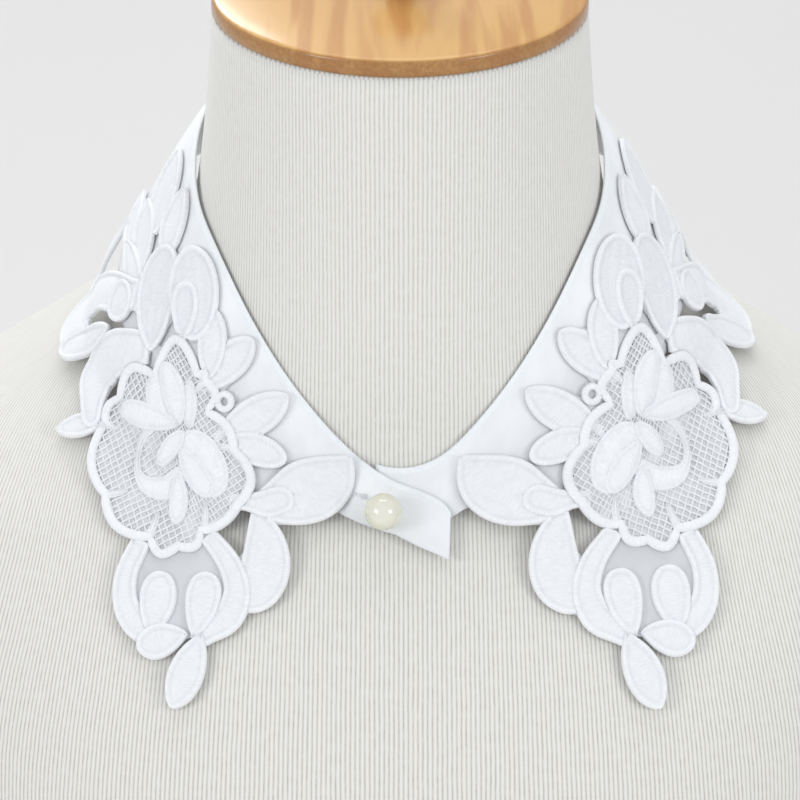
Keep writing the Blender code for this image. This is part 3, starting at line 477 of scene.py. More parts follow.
class CollarNet:
    """The surface that the collar lies on, by azimuth and by reach from the neckline."""

    AXIS_POINT = (0.0, -8.0, 640.0)
    AXIS_TILT = 14.0
    STEP = 3.0
    SPACING = 2.0
    REACH = 140.0
    TAUT_REACH = 60.0
    ROUNDS = 6
    BOW_START = 42.0
    BOW_FULL = 78.0
    BOW_FALL = 120.0
    BACK_SHARE = 0.6

    def __init__(self) -> None:
        tilt = math.radians(self.AXIS_TILT)
        self.axis = np.array([0.0, -math.sin(tilt), math.cos(tilt)])
        self.front = np.array([0.0, -math.cos(tilt), -math.sin(tilt)])
        self.base = np.array(self.AXIS_POINT) * MM
        self.form = FormShape(160, 6).tree()
        self.azimuths = np.arange(0, 360, self.STEP)
        self.reaches = np.arange(0, self.REACH + self.SPACING / 2, self.SPACING) * MM
        table = smooth_rows(NECKLINE, 8)
        folded = np.minimum(self.azimuths, 360 - self.azimuths)
        heights = np.interp(folded, table[:, 0], table[:, 1]) * MM
        standoffs = np.interp(folded, table[:, 0], table[:, 2]) * MM
        rows = [self.taut_row(*each) for each in zip(self.azimuths, heights, standoffs)]
        self.points = self.smoothed(np.array(rows))
        self.points = self.points + self.facing() * self.bow(folded)
        self.normals = self.facing()

    def facing(self) -> Array:
        """Unit normals off the form.

        Returns:
            One for each point of the net.
        """
        around = np.roll(self.points, -1, axis=0) - np.roll(self.points, 1, axis=0)
        return unit(np.cross(np.gradient(self.points, axis=1), around))

    def bow(self, folded: Array) -> Array:
        """How far the collar stands off the taut surface.

        Args:
            folded: azimuths from the front, up to 180.

        Returns:
            Metres for each azimuth and reach.
        """
        table = smooth_rows(BOW, 6)
        rise = np.interp(self.reaches, table[:, 0] * MM, table[:, 1] * MM)
        grown = np.clip((folded - self.BOW_START) / (self.BOW_FULL - self.BOW_START), 0, 1)
        fallen = np.clip((folded - self.BOW_FALL) / (180 - self.BOW_FALL), 0, 1)
        share = grown**2 * (3 - 2 * grown)
        share *= 1 - (1 - self.BACK_SHARE) * fallen**2 * (3 - 2 * fallen)
        return np.outer(share, rise)[..., None]

    def taut_row(self, azimuth: float, height: float, standoff: float) -> Array:
        """Points along a tape laid outward from the neckline over the form.

        Args:
            azimuth: direction from the front, in degrees.
            height: the neckline's height, in metres.
            standoff: how far the tape starts off the form, in metres.

        Returns:
            One point for each reach.
        """
        angle = math.radians(azimuth)
        out = self.front * math.cos(angle) + np.array([math.sin(angle), 0.0, 0.0])
        profile = []
        for rise in np.arange(0.075, -0.18, -0.0015):
            start = Vector(self.base + self.axis * rise)
            hit = self.form.ray_cast(start, Vector(out))[0]
            if hit is not None:
                profile.append(((hit - start).length, rise))
        profile = np.array(profile)
        heights = (self.base + profile[:, :1] * out + profile[:, 1:] * self.axis)[:, 2]
        order = np.arange(len(profile))
        first = np.interp(-height, -heights, order)
        start = np.array([np.interp(first, order, profile[:, k]) for k in (0, 1)])
        start[0] += standoff
        chain = [start]
        travelled = 0.0
        for i in range(int(math.ceil(first)), len(profile)):
            travelled += np.linalg.norm(profile[i] - profile[i - 1])
            taut = travelled < self.TAUT_REACH * MM
            while taut and len(chain) > 1 and self.dips(*chain[-2:], profile[i]):
                chain.pop()
            chain.append(profile[i])
        chain = np.array(chain)
        steps = np.linalg.norm(np.diff(chain, axis=0), axis=1)
        lengths = np.concatenate([[0], np.cumsum(steps)])
        radius = np.interp(self.reaches, lengths, chain[:, 0])
        rise = np.interp(self.reaches, lengths, chain[:, 1])
        return self.base + radius[:, None] * out + rise[:, None] * self.axis

    @staticmethod
    def dips(a: Array, b: Array, c: Array) -> bool:
        """Whether a tape through three points would sag at the middle one.

        Args:
            a: first point.
            b: middle point.
            c: last point.

        Returns:
            True where the tape would pull straight.
        """
        return (b[0] - a[0]) * (c[1] - a[1]) - (b[1] - a[1]) * (c[0] - a[0]) > 0

    def smoothed(self, points: Array) -> Array:
        """The net with its folds evened out, and never inside the form.

        Args:
            points: the net.

        Returns:
            The net, smoothed.
        """
        for _ in range(self.ROUNDS):
            around = (np.roll(points, 1, axis=0) + np.roll(points, -1, axis=0) + 2 * points) / 4
            points = around.copy()
            points[:, 1:-1] = (around[:, :-2] + around[:, 2:] + 2 * around[:, 1:-1]) / 4
        flat = points.reshape(-1, 3)
        for i, point in enumerate(flat):
            near, normal = self.form.find_nearest(Vector(point))[:2]
            if (Vector(point) - near).dot(normal) < 0:
                flat[i] = near
        return flat.reshape(points.shape)

    def at(self, azimuth: Array, reach: Array, lift: Array) -> Array:
        """Points on the net, lifted off it.

        Args:
            azimuth: directions in degrees.
            reach: distances below the neckline, in millimetres.
            lift: distances off the net, in metres.

        Returns:
            The points.
        """
        turn = (np.asarray(azimuth, float) % 360) / self.STEP
        out = np.clip(np.asarray(reach, float) / self.SPACING, 0, len(self.reaches) - 1.001)
        i, j = turn.astype(int) % len(self.azimuths), out.astype(int)
        s, t = (turn - np.floor(turn))[..., None], (out - j)[..., None]
        normal = unit(self.blend(self.normals, i, j, s, t))
        return self.blend(self.points, i, j, s, t) + normal * np.asarray(lift)[..., None]

    def blend(self, values: Array, i: Array, j: Array, s: Array, t: Array) -> Array:
        """Values between the corners of the net's cells.

        Args:
            values: one vector for each point of the net.
            i: cells' numbers round the neck.
            j: cells' numbers outward.
            s: shares round.
            t: shares outward.

        Returns:
            The blended vectors.
        """
        k = (i + 1) % len(self.azimuths)
        near = values[i, j] * (1 - s) + values[k, j] * s
        far = values[i, j + 1] * (1 - s) + values[k, j + 1] * s
        return near * (1 - t) + far * t


class Chart:
    """Millimetres across and up on the surface of the shoulder, for drawing the lace.

    Args:
        net: the surface that the collar lies on.
    """

    ORIGIN = (75.0, -47.0, 584.0)
    FACING = (0.4, -0.6, 0.69)
    STANDOFF = 80.0
    LOW = (-72.0, -96.0)
    CELL = 1.5
    CELLS = (82, 140)

    def __init__(self, net: CollarNet) -> None:
        facing = unit(np.array(self.FACING))
        across = unit(np.array([1.0, 0.0, 0.0]) - facing[0] * facing)
        up = np.cross(facing, across)
        count, reaches = net.points.shape[:2]
        faces = [f[::-1] for f in grid_faces(count, reaches)]
        faces += [(i, (count - 1) * reaches + i, (count - 1) * reaches + i + 1, i + 1)
                  for i in range(reaches - 1)]
        flat = net.points.reshape(-1, 3)
        tree = BVHTree.FromPolygons([Vector(p) for p in flat], faces)
        start = (np.array(self.ORIGIN) + facing * self.STANDOFF) * MM
        self.points = np.full((*self.CELLS, 3), np.nan)
        self.normals = np.full((*self.CELLS, 3), np.nan)
        for i in range(self.CELLS[0]):
            for j in range(self.CELLS[1]):
                x, y = self.LOW[0] + i * self.CELL, self.LOW[1] + j * self.CELL
                begin = start + (across * x + up * y) * MM
                hit, _, face, _ = tree.ray_cast(Vector(begin), Vector(-facing))
                if hit is None:
                    continue
                corners = list(faces[face])
                near = 1 / (np.linalg.norm(flat[corners] - np.array(hit), axis=1) + 1e-5)
                normals = net.normals.reshape(-1, 3)[corners]
                self.points[i, j] = hit
                self.normals[i, j] = (normals * near[:, None]).sum(axis=0)
        self.normals = unit(self.normals)

    def lay(self, place: LacePlace, drawn: Array, lift: Array) -> Array:
        """Drawn points laid on the form and lifted.

        Args:
            place: the lace that they belong to.
            drawn: points in millimetres across and up.
            lift: millimetres off the surface, one for each point.

        Returns:
            The points in metres.
        """
        x = drawn[:, 0] * place.wide + drawn[:, 1] * place.lean + place.across
        y = drawn[:, 0] * place.drop + drawn[:, 1] * place.high + place.up
        fx = np.clip((x - self.LOW[0]) / self.CELL, 0, self.CELLS[0] - 1.001)
        fy = np.clip((y - self.LOW[1]) / self.CELL, 0, self.CELLS[1] - 1.001)
        i, j = fx.astype(int), fy.astype(int)
        s, t = (fx - i)[:, None], (fy - j)[:, None]
        found = []
        for values in (self.points, self.normals):
            low = values[i, j] * (1 - s) + values[i + 1, j] * s
            high = values[i, j + 1] * (1 - s) + values[i + 1, j + 1] * s
            found.append(low * (1 - t) + high * t)
        laid = found[0] + unit(found[1]) * (np.asarray(lift) * MM)[:, None]
        return laid * np.array([place.side, 1.0, 1.0])


@dataclass
class Drawing:
    """A mesh in the making: points, faces, and coordinates and a material number for each.

    Args:
        points: laid points.
        faces: faces as point numbers.
        uvs: a pair of millimetres for each point.
        depths: millimetres inside a motif's outline for each point.
        slots: a material number for each face.
    """

    points: list
    faces: list
    uvs: list
    depths: list
    slots: list

    @classmethod
    def empty(cls) -> "Drawing":
        """A drawing with nothing in it.

        Returns:
            The drawing.
        """
        return cls([], [], [], [], [])

    def add(self, points: Array, faces: Iterable[tuple], uvs: Array, slot: int = 0,
            depths: Array | None = None) -> None:
        """Add points and faces numbered from the first of them.

        Args:
            points: the new points.
            faces: their faces.
            uvs: a pair for each point.
            slot: material number for these faces.
            depths: millimetres inside the outline for each point, none for a cord.
        """
        first = len(self.points)
        self.depths.extend(np.zeros(len(points)) if depths is None else depths)
        self.points.extend(map(tuple, points))
        self.uvs.extend(map(tuple, uvs))
        for face in faces:
            self.faces.append(tuple(first + v for v in face))
            self.slots.append(slot)

    def object(self, name: str, materials: Sequence[bpy.types.Material]) -> bpy.types.Object:
        """The drawing as an object that rides on the root.

        Args:
            name: the object's name.
            materials: its materials in slot order.

        Returns:
            The object.
        """
        mesh = bpy.data.meshes.new(name)
        mesh.from_pydata(self.points, [], self.faces)
        layer = mesh.uv_layers.new(name="cloth")
        corners = np.empty(len(mesh.loops), np.int32)
        mesh.loops.foreach_get("vertex_index", corners)
        layer.data.foreach_set("uv", np.array(self.uvs, np.float32)[corners].ravel())
        if any(self.depths):
            inside = np.zeros((len(corners), 2), np.float32)
            inside[:, 0] = np.array(self.depths, np.float32)[corners]
            mesh.uv_layers.new(name="rim").data.foreach_set("uv", inside.ravel())
        mesh.polygons.foreach_set("material_index", np.array(self.slots, np.int32))
        for material in materials:
            mesh.materials.append(material)
        mesh.validate()
        mesh.shade_smooth()
        mesh.update()
        made = bpy.data.objects.new(name, mesh)
        bpy.context.scene.collection.objects.link(made)
        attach(made, ROOT)
        return made


class Nodes:
    """A short way to write a material's node tree.

    Args:
        tree: the tree to write in.
    """

    def __init__(self, tree: bpy.types.NodeTree) -> None:
        self.tree = tree

    def add(self, kind: str, inputs: dict | None = None, **settings: object) -> bpy.types.Node:
        """Add a node.

        Args:
            kind: the node's type name without ShaderNode.
            inputs: values or sockets for its inputs.
            settings: the node's own properties.

        Returns:
            The node.
        """
        node = self.tree.nodes.new("ShaderNode" + kind)
        for key, value in settings.items():
            setattr(node, key, value)
        for key, value in (inputs or {}).items():
            socket = node.inputs[key]
            if isinstance(value, bpy.types.NodeSocket):
                self.tree.links.new(value, socket)
            else:
                socket.default_value = value
        return node

    def math(self, operation: str, first: object, second: object = 0.0) -> bpy.types.NodeSocket:
        """Add a Math node.

        Args:
            operation: what it does.
            first: its first value or socket.
            second: its second value or socket.

        Returns:
            The result's socket.
        """
        return self.add("Math", {0: first, 1: second}, operation=operation).outputs[0]

    def mix(self, share: object, first: object, second: object) -> bpy.types.NodeSocket:
        """Add a colour mix.

        Args:
            share: the second colour's share.
            first: a colour or socket.
            second: a colour or socket.

        Returns:
            The result's socket.
        """
        values = {0: share, 6: first, 7: second}
        return self.add("Mix", values, data_type="RGBA").outputs[2]


class GroupBuilder:
    """Shared shader effects, each a node group that gives values, colours or normals."""

    def __init__(self) -> None:
        self.made: dict[str, bpy.types.NodeTree] = {}

    def group(self, name: str, inputs: dict[str, tuple[str, object]],
              outputs: dict[str, str], write: Callable) -> bpy.types.NodeTree:
        """The named group, written the first time that it is asked for.

        Args:
            name: the group's name.
            inputs: each input's socket type and value.
            outputs: each output's socket type.
            write: fills the group, given its nodes, its input node and its output node.

        Returns:
            The group.
        """
        if name in self.made:
            return self.made[name]
        tree = bpy.data.node_groups.new(name, "ShaderNodeTree")
        for key, (kind, value) in inputs.items():
            socket = tree.interface.new_socket(key, in_out="INPUT", socket_type=kind)
            socket.default_value = value
        for key, kind in outputs.items():
            tree.interface.new_socket(key, in_out="OUTPUT", socket_type=kind)
        given = tree.nodes.new("NodeGroupInput")
        result = tree.nodes.new("NodeGroupOutput")
        write(Nodes(tree), given, result)
        self.made[name] = tree
        return tree

    def ribs(self) -> bpy.types.NodeTree:
        """Knitted ribs: a height, and a groove mask for painted shade between the ribs, from the cloth's own
        coordinates.

        Returns:
            The group.
        """
        def write(n: Nodes, given: bpy.types.Node, result: bpy.types.Node) -> None:
            uv = n.add("UVMap", uv_map="cloth").outputs[0]
            noise = n.add("TexNoise", {"Vector": uv, "Scale": 0.09, "Detail": 2.0}).outputs[0]
            parts = n.add("SeparateXYZ", {0: uv}).outputs
            wander = n.math("MULTIPLY", n.math("SUBTRACT", noise, 0.5), given.outputs["Wander"])
            along = n.math("ADD", parts[0], wander)
            turns = n.math("MULTIPLY", n.math("DIVIDE", along, given.outputs["Pitch"]), math.tau)
            wave = n.math("ADD", n.math("MULTIPLY", n.math("SINE", turns), 0.5), 0.5)
            round_rib = n.math("POWER", wave, 0.55)
            fine = n.math("MULTIPLY", n.math("SINE", n.math("MULTIPLY", parts[1], 5.6)), 0.06)
            n.tree.links.new(n.math("ADD", round_rib, fine), result.inputs["Height"])
            # The groove mask places painted shade between the ribs.
            groove = n.math("SUBTRACT", 1.0, round_rib)
            n.tree.links.new(n.math("POWER", groove, 1.4), result.inputs["Groove"])

        return self.group(
            "knit ribs",
            {"Pitch": ("NodeSocketFloat", 1.42), "Wander": ("NodeSocketFloat", 0.45)},
            {"Height": "NodeSocketFloat", "Groove": "NodeSocketFloat"},
            write,
        )

    def stitches(self) -> bpy.types.NodeTree:
        """Satin stitches laid across a motif: a height and a mask for painted shade between them.

        Returns:
            The group.
        """
        def write(n: Nodes, given: bpy.types.Node, result: bpy.types.Node) -> None:
            uv = n.add("UVMap", uv_map="cloth").outputs[0]
            skew = n.add("Mapping", {"Vector": uv, "Rotation": (0.0, 0.0, 0.22)}).outputs[0]
            thin = n.add("Mapping", {"Vector": skew, "Scale": (1.0, 0.13, 1.0)}).outputs[0]
            coarse = n.add("TexNoise", {"Vector": thin, "Scale": 3.0, "Detail": 3.0}).outputs[0]
            fine = n.add("TexNoise", {"Vector": thin, "Scale": 6.5, "Detail": 2.0}).outputs[0]
            both = n.math("ADD", n.math("MULTIPLY", coarse, 0.6), n.math("MULTIPLY", fine, 0.4))
            n.tree.links.new(both, result.inputs["Height"])
            soft = n.add("TexNoise", {"Vector": uv, "Scale": 0.22, "Detail": 3.0}).outputs[0]
            shade = n.math("ADD", n.math("MULTIPLY", both, 0.8), n.math("MULTIPLY", soft, 0.2))
            n.tree.links.new(shade, result.inputs["Shade"])

        return self.group(
            "satin stitches", {}, {"Height": "NodeSocketFloat", "Shade": "NodeSocketFloat"}, write
        )

    def weave(self) -> bpy.types.NodeTree:
        """A fine plain weave: a height and a soft cloudiness.

        Returns:
            The group.
        """
        def write(n: Nodes, given: bpy.types.Node, result: bpy.types.Node) -> None:
            uv = n.add("UVMap", uv_map="cloth").outputs[0]
            parts = n.add("SeparateXYZ", {0: uv}).outputs
            turns = n.math("DIVIDE", math.tau, given.outputs["Pitch"])
            waves = [n.math("SINE", n.math("MULTIPLY", parts[k], turns)) for k in (0, 1)]
            n.tree.links.new(n.math("ADD", *waves), result.inputs["Height"])
            cloud = n.add("TexNoise", {"Vector": uv, "Scale": 0.06, "Detail": 4.0}).outputs[0]
            n.tree.links.new(cloud, result.inputs["Cloud"])

        return self.group(
            "plain weave",
            {"Pitch": ("NodeSocketFloat", 0.5)},
            {"Height": "NodeSocketFloat", "Cloud": "NodeSocketFloat"},
            write,
        )


GROUPS = GroupBuilder()


@dataclass(frozen=True)
class Finish:
    """What every finish starts from.

    Args:
        name: the material's name.
        colour: its base colour.
        roughness: its roughness.
    """

    name: str
    colour: Colour
    roughness: float

    def start(self) -> tuple[bpy.types.Material, Nodes, bpy.types.Node]:
        """A new material with its Principled shader set.

        Returns:
            The material, its nodes and the shader.
        """
        material = bpy.data.materials.new(self.name)
        material.use_nodes = True
        nodes = Nodes(material.node_tree)
        shader = material.node_tree.nodes["Principled BSDF"]
        shader.inputs["Base Color"].default_value = (*self.colour, 1.0)
        shader.inputs["Roughness"].default_value = self.roughness
        return material, nodes, shader

    def shaded(self, colour: Colour) -> tuple[float, float, float, float]:
        """A colour with full alpha.

        Args:
            colour: the colour.

        Returns:
            The colour as a socket's value.
        """
        return (*colour, 1.0)


@dataclass(frozen=True)
class JerseyFinish(Finish):
    """Ribbed off-white jersey.

    Args:
        groove: painted shade between the ribs.
        pitch: millimetres from rib to rib.
    """

    groove: Colour = (0.47, 0.45, 0.40)
    pitch: float = 1.4

    def material(self) -> bpy.types.Material:
        """The jersey's material.

        Returns:
            The material.
        """
        material, n, shader = self.start()
        ribs = n.add("Group", node_tree=GROUPS.ribs())
        ribs.inputs["Pitch"].default_value = self.pitch
        uv = n.add("UVMap", uv_map="cloth").outputs[0]
        # Painted shade in the rib grooves: the groove colour mixed in by the ribs' groove mask, its strength varied
        # by noise.
        groove_shade_noise = n.add("TexNoise", {"Vector": uv, "Scale": 0.35, "Detail": 5.0}).outputs[0]
        share = n.math("MULTIPLY", ribs.outputs["Groove"], n.math("ADD", n.math("MULTIPLY", groove_shade_noise, 1.2), 0.25))
        height = n.add("SeparateXYZ", {0: uv}).outputs[1]
        # The painted groove shade fades to three quarters between 540 and 620 mm high, on the neck.
        neck_groove_shade_fade = n.add("MapRange", {0: height, 1: 540.0, 2: 620.0, 3: 1.0, 4: 0.75}).outputs[0]
        share = n.math("MULTIPLY", share, neck_groove_shade_fade)
        colour = n.mix(share, self.shaded(self.colour), self.shaded(self.groove))
        n.tree.links.new(colour, shader.inputs["Base Color"])
        bump = n.add("Bump", {"Height": ribs.outputs["Height"], "Strength": 0.25, "Distance": 0.0003})
        n.tree.links.new(bump.outputs[0], shader.inputs["Normal"])
        shader.inputs["Sheen Weight"].default_value = 0.25
        shader.inputs["Sheen Roughness"].default_value = 0.6
        return material


@dataclass(frozen=True)
class ThreadFinish(Finish):
    """White thread.

    Args:
        shade: painted shade between the stitches.
        depth: the shade's greatest share.
    """

    shade: Colour = (0.66, 0.69, 0.73)
    depth: float = 0.375

    def material(self) -> bpy.types.Material:
        """The thread's material.

        Returns:
            The material.
        """
        material, n, shader = self.start()
        self.stitch(n, shader, self.shaded(self.colour))
        shader.inputs["Sheen Weight"].default_value = 0.3
        return material

    def stitch(self, n: Nodes, shader: bpy.types.Node, colour: object) -> None:
        """Lay stitches on a colour.

        Args:
            n: the material's nodes.
            shader: its shader.
            colour: the colour or its socket.
        """
        stitch = n.add("Group", node_tree=GROUPS.stitches())
        # Painted shade between the stitches: the shade colour mixed in by the stitches' shade mask.
        share = n.add("MapRange", {0: stitch.outputs["Shade"], 1: 0.58, 2: 0.40, 3: 0.0, 4: self.depth})
        n.tree.links.new(n.mix(share.outputs[0], colour, self.shaded(self.shade)), shader.inputs["Base Color"])
        bump = n.add("Bump", {"Height": stitch.outputs["Height"], "Strength": 0.8, "Distance": 0.0003})
        n.tree.links.new(bump.outputs[0], shader.inputs["Normal"])


@dataclass(frozen=True)
class SatinFinish(ThreadFinish):
    """White satin-stitch embroidery with a corded rim.

    Args:
        fill: colour inside the rim, a little darker than the rim as painted shade.
        cord: the rim's width in millimetres.
        alpha: opacity, under one for sheer fillings.
    """

    fill: Colour = (0.88, 0.895, 0.91)
    cord: float = 1.7
    alpha: float = 1.0

    def material(self) -> bpy.types.Material:
        """The embroidery's material.

        Returns:
            The material.
        """
        material, n, shader = self.start()
        uv = n.add("UVMap", uv_map="rim").outputs[0]
        inside = n.add("SeparateXYZ", {0: uv}).outputs[0]
        within = n.add("MapRange", {0: inside, 1: self.cord - 0.25, 2: self.cord + 0.15},
                       interpolation_type="SMOOTHSTEP").outputs[0]
        # Painted shade along the groove where the rim meets the fill, in the thread's shade colour.
        away = n.math("ABSOLUTE", n.math("SUBTRACT", inside, self.cord))
        line = n.add("MapRange", {0: away, 1: 0.05, 2: 0.9, 3: 0.26, 4: 0.0}).outputs[0]
        # The fill is a little darker than the rim: painted shade on the lower filling.
        colour = n.mix(within, self.shaded(self.colour), self.shaded(self.fill))
        self.stitch(n, shader, n.mix(line, colour, self.shaded(self.shade)))
        n.tree.links.new(n.add("MapRange", {0: within, 3: 1.0, 4: self.alpha}).outputs[0], shader.inputs["Alpha"])
        shader.inputs["Sheen Weight"].default_value = 0.3
        shader.inputs["Subsurface Weight"].default_value = 0.15
        shader.inputs["Subsurface Radius"].default_value = (0.001, 0.001, 0.001)
        return material


@dataclass(frozen=True)
class SheerFinish(Finish):
    """Fine translucent cloth.

    Args:
        shade: colour where the cloth is thinner.
        low: opacity far from the neck edge.
        high: opacity by the neck edge.
        fold: millimetres that the doubled edge reaches down.
    """

    shade: Colour = (0.72, 0.74, 0.76)
    low: float = 0.5
    high: float = 0.5
    fold: float = 10.0

    def material(self) -> bpy.types.Material:
        """The cloth's material.

        Returns:
            The material.
        """
        material, n, shader = self.start()
        weave = n.add("Group", node_tree=GROUPS.weave())
        uv = n.add("UVMap", uv_map="cloth").outputs[0]
        down = n.add("SeparateXYZ", {0: uv}).outputs[1]
        edge = n.add("MapRange", {0: down, 1: self.fold * 0.5, 2: self.fold * 1.8, 3: self.high, 4: self.low},
                     interpolation_type="SMOOTHSTEP").outputs[0]
        cloudy = n.math("MULTIPLY", n.math("SUBTRACT", weave.outputs["Cloud"], 0.5), 0.25)
        n.tree.links.new(n.math("ADD", edge, cloudy), shader.inputs["Alpha"])
        colour = n.mix(weave.outputs["Cloud"], self.shaded(self.shade), self.shaded(self.colour))
        n.tree.links.new(colour, shader.inputs["Base Color"])
        bump = n.add("Bump", {"Height": weave.outputs["Height"], "Strength": 0.12, "Distance": 0.0001})
        n.tree.links.new(bump.outputs[0], shader.inputs["Normal"])
        shader.inputs["Sheen Weight"].default_value = 0.3
        return material


@dataclass(frozen=True)
class WoodFinish(Finish):
    """Varnished wood with straight grain.

    Args:
        dark: the grain's colour.
        end: colour that the rim's sides are darkened towards, away from the top.
    """

    dark: Colour = (0.55, 0.26, 0.08)
    end: Colour = (0.30, 0.13, 0.04)

    def material(self) -> bpy.types.Material:
        """The wood's material.

        Returns:
            The material.
        """
        material, n, shader = self.start()
        place = n.add("TexCoord").outputs["Object"]
        grain_space = n.add("Mapping", {"Vector": place, "Scale": (1.0, 0.07, 0.4)}).outputs[0]
        warp = n.add("TexNoise", {"Vector": grain_space, "Scale": 38.0, "Detail": 4.0, "Distortion": 0.6})
        fine_space = n.add("Mapping", {"Vector": place, "Scale": (1.0, 0.02, 0.2)}).outputs[0]
        fine = n.add("TexNoise", {"Vector": fine_space, "Scale": 420.0, "Detail": 5.0}).outputs[0]
        rings = n.math("SINE", n.math("MULTIPLY", warp.outputs[0], 34.0))
        bands = n.math("ADD", n.math("MULTIPLY", rings, 0.3), n.math("MULTIPLY", fine, 0.55))
        share = n.add("MapRange", {0: bands, 1: 0.05, 2: 0.6, 3: 0.0, 4: 0.85}).outputs[0]
        top = n.mix(share, self.shaded(self.colour), self.shaded(self.dark))
        # The rim's sides, where the surface turns from facing up, are darkened towards the end colour, with speckle.
        normal = n.add("NewGeometry").outputs["Normal"]
        upward = n.add("SeparateXYZ", {0: normal}).outputs[2]
        side = n.add("MapRange", {0: upward, 1: 0.75, 2: 0.35, 3: 0.0, 4: 0.75}).outputs[0]
        speck = n.add("TexNoise", {"Vector": place, "Scale": 900.0, "Detail": 3.0}).outputs[0]
        rim = n.math("MULTIPLY", side, n.math("ADD", speck, 0.45))
        n.tree.links.new(n.mix(rim, top, self.shaded(self.end)), shader.inputs["Base Color"])
        bump = n.add("Bump", {"Height": fine, "Strength": 0.06, "Distance": 0.0002})
        n.tree.links.new(bump.outputs[0], shader.inputs["Normal"])
        shader.inputs["Specular IOR Level"].default_value = 0.35
        shader.inputs["Coat Weight"].default_value = 0.35
        shader.inputs["Coat Roughness"].default_value = 0.12
        return material


@dataclass(frozen=True)
class PearlFinish(Finish):
    """Nacre on a bead, darker and greener towards its outline: partly the nacre's green overtone, partly painted
    shade at the edge.

    Args:
        rim: colour at the outline, darker and greener, partly painted shade.
    """

    rim: Colour = (0.62, 0.62, 0.38)

    def material(self) -> bpy.types.Material:
        """The pearl's material.

        Returns:
            The material.
        """
        material, n, shader = self.start()
        # Towards the outline the rim colour is mixed in: the nacre's green overtone and painted shade at the edge.
        facing = n.add("LayerWeight", {"Blend": 0.35}).outputs["Facing"]
        place = n.add("TexCoord").outputs["Object"]
        cloud = n.add("TexNoise", {"Vector": place, "Scale": 260.0, "Detail": 3.0}).outputs[0]
        share = n.math("MULTIPLY", n.math("POWER", facing, 1.3), n.math("ADD", cloud, 0.45))
        colour = n.mix(share, self.shaded(self.colour), self.shaded(self.rim))
        n.tree.links.new(colour, shader.inputs["Base Color"])
        shader.inputs["Coat Weight"].default_value = 1.0
        shader.inputs["Coat Roughness"].default_value = 0.05
        shader.inputs["Coat IOR"].default_value = 1.9
        shader.inputs["Subsurface Weight"].default_value = 0.2
        shader.inputs["Subsurface Radius"].default_value = (0.002, 0.002, 0.001)
        return material


@dataclass(frozen=True)
class PlainFinish(Finish):
    """A matt painted surface with faint mottling, clear from behind."""

    def material(self) -> bpy.types.Material:
        """The surface's material.

        Returns:
            The material.
        """
        material, n, shader = self.start()
        place = n.add("TexCoord").outputs["Object"]
        cloud = n.add("TexNoise", {"Vector": place, "Scale": 3.0, "Detail": 2.0}).outputs[0]
        paler = tuple(min(1.0, c * 1.03) for c in self.colour)
        colour = n.mix(cloud, self.shaded(self.colour), self.shaded(paler))
        n.tree.links.new(colour, shader.inputs["Base Color"])
        behind = n.add("NewGeometry").outputs["Backfacing"]
        n.tree.links.new(n.math("SUBTRACT", 1.0, behind), shader.inputs["Alpha"])
        return material


JERSEY = JerseyFinish("ribbed jersey", (0.80, 0.79, 0.755), 0.95)
ORGANZA = SheerFinish("organza", (0.93, 0.95, 0.97), 0.6, (0.84, 0.86, 0.88), low=0.78, high=0.97, fold=14.0)
# The lace and net grounds are greyer than the organza and thread: painted shade between the motifs and in the net's
# holes.
LACE_GROUND = SheerFinish("lace ground", (0.78, 0.79, 0.81), 0.7, low=0.8, high=0.8)
NET_GROUND = SheerFinish("net ground", (0.78, 0.79, 0.80), 0.7, (0.72, 0.73, 0.74), low=0.95, high=0.95)
SATIN = SatinFinish("satin stitch", (0.92, 0.93, 0.945), 0.65)
SHEER_SATIN = SatinFinish("sheer filling", (0.92, 0.93, 0.945), 0.65, fill=(0.88, 0.895, 0.915), alpha=0.96)
HEART_SATIN = SatinFinish("raised petal", (0.92, 0.93, 0.945), 0.65, fill=(0.91, 0.925, 0.94), cord=1.0)
THREAD = ThreadFinish("net thread", (0.93, 0.94, 0.95), 0.65)
HEM = ThreadFinish("rolled hem", (0.91, 0.94, 0.96), 0.6, depth=0.18)
WOOD = WoodFinish("honey wood", (0.70, 0.41, 0.14), 0.32)
PEARL = PearlFinish("pearl", (0.80, 0.79, 0.68), 0.12)
FLOOR = PlainFinish("pale floor", (0.81, 0.80, 0.79), 0.8)


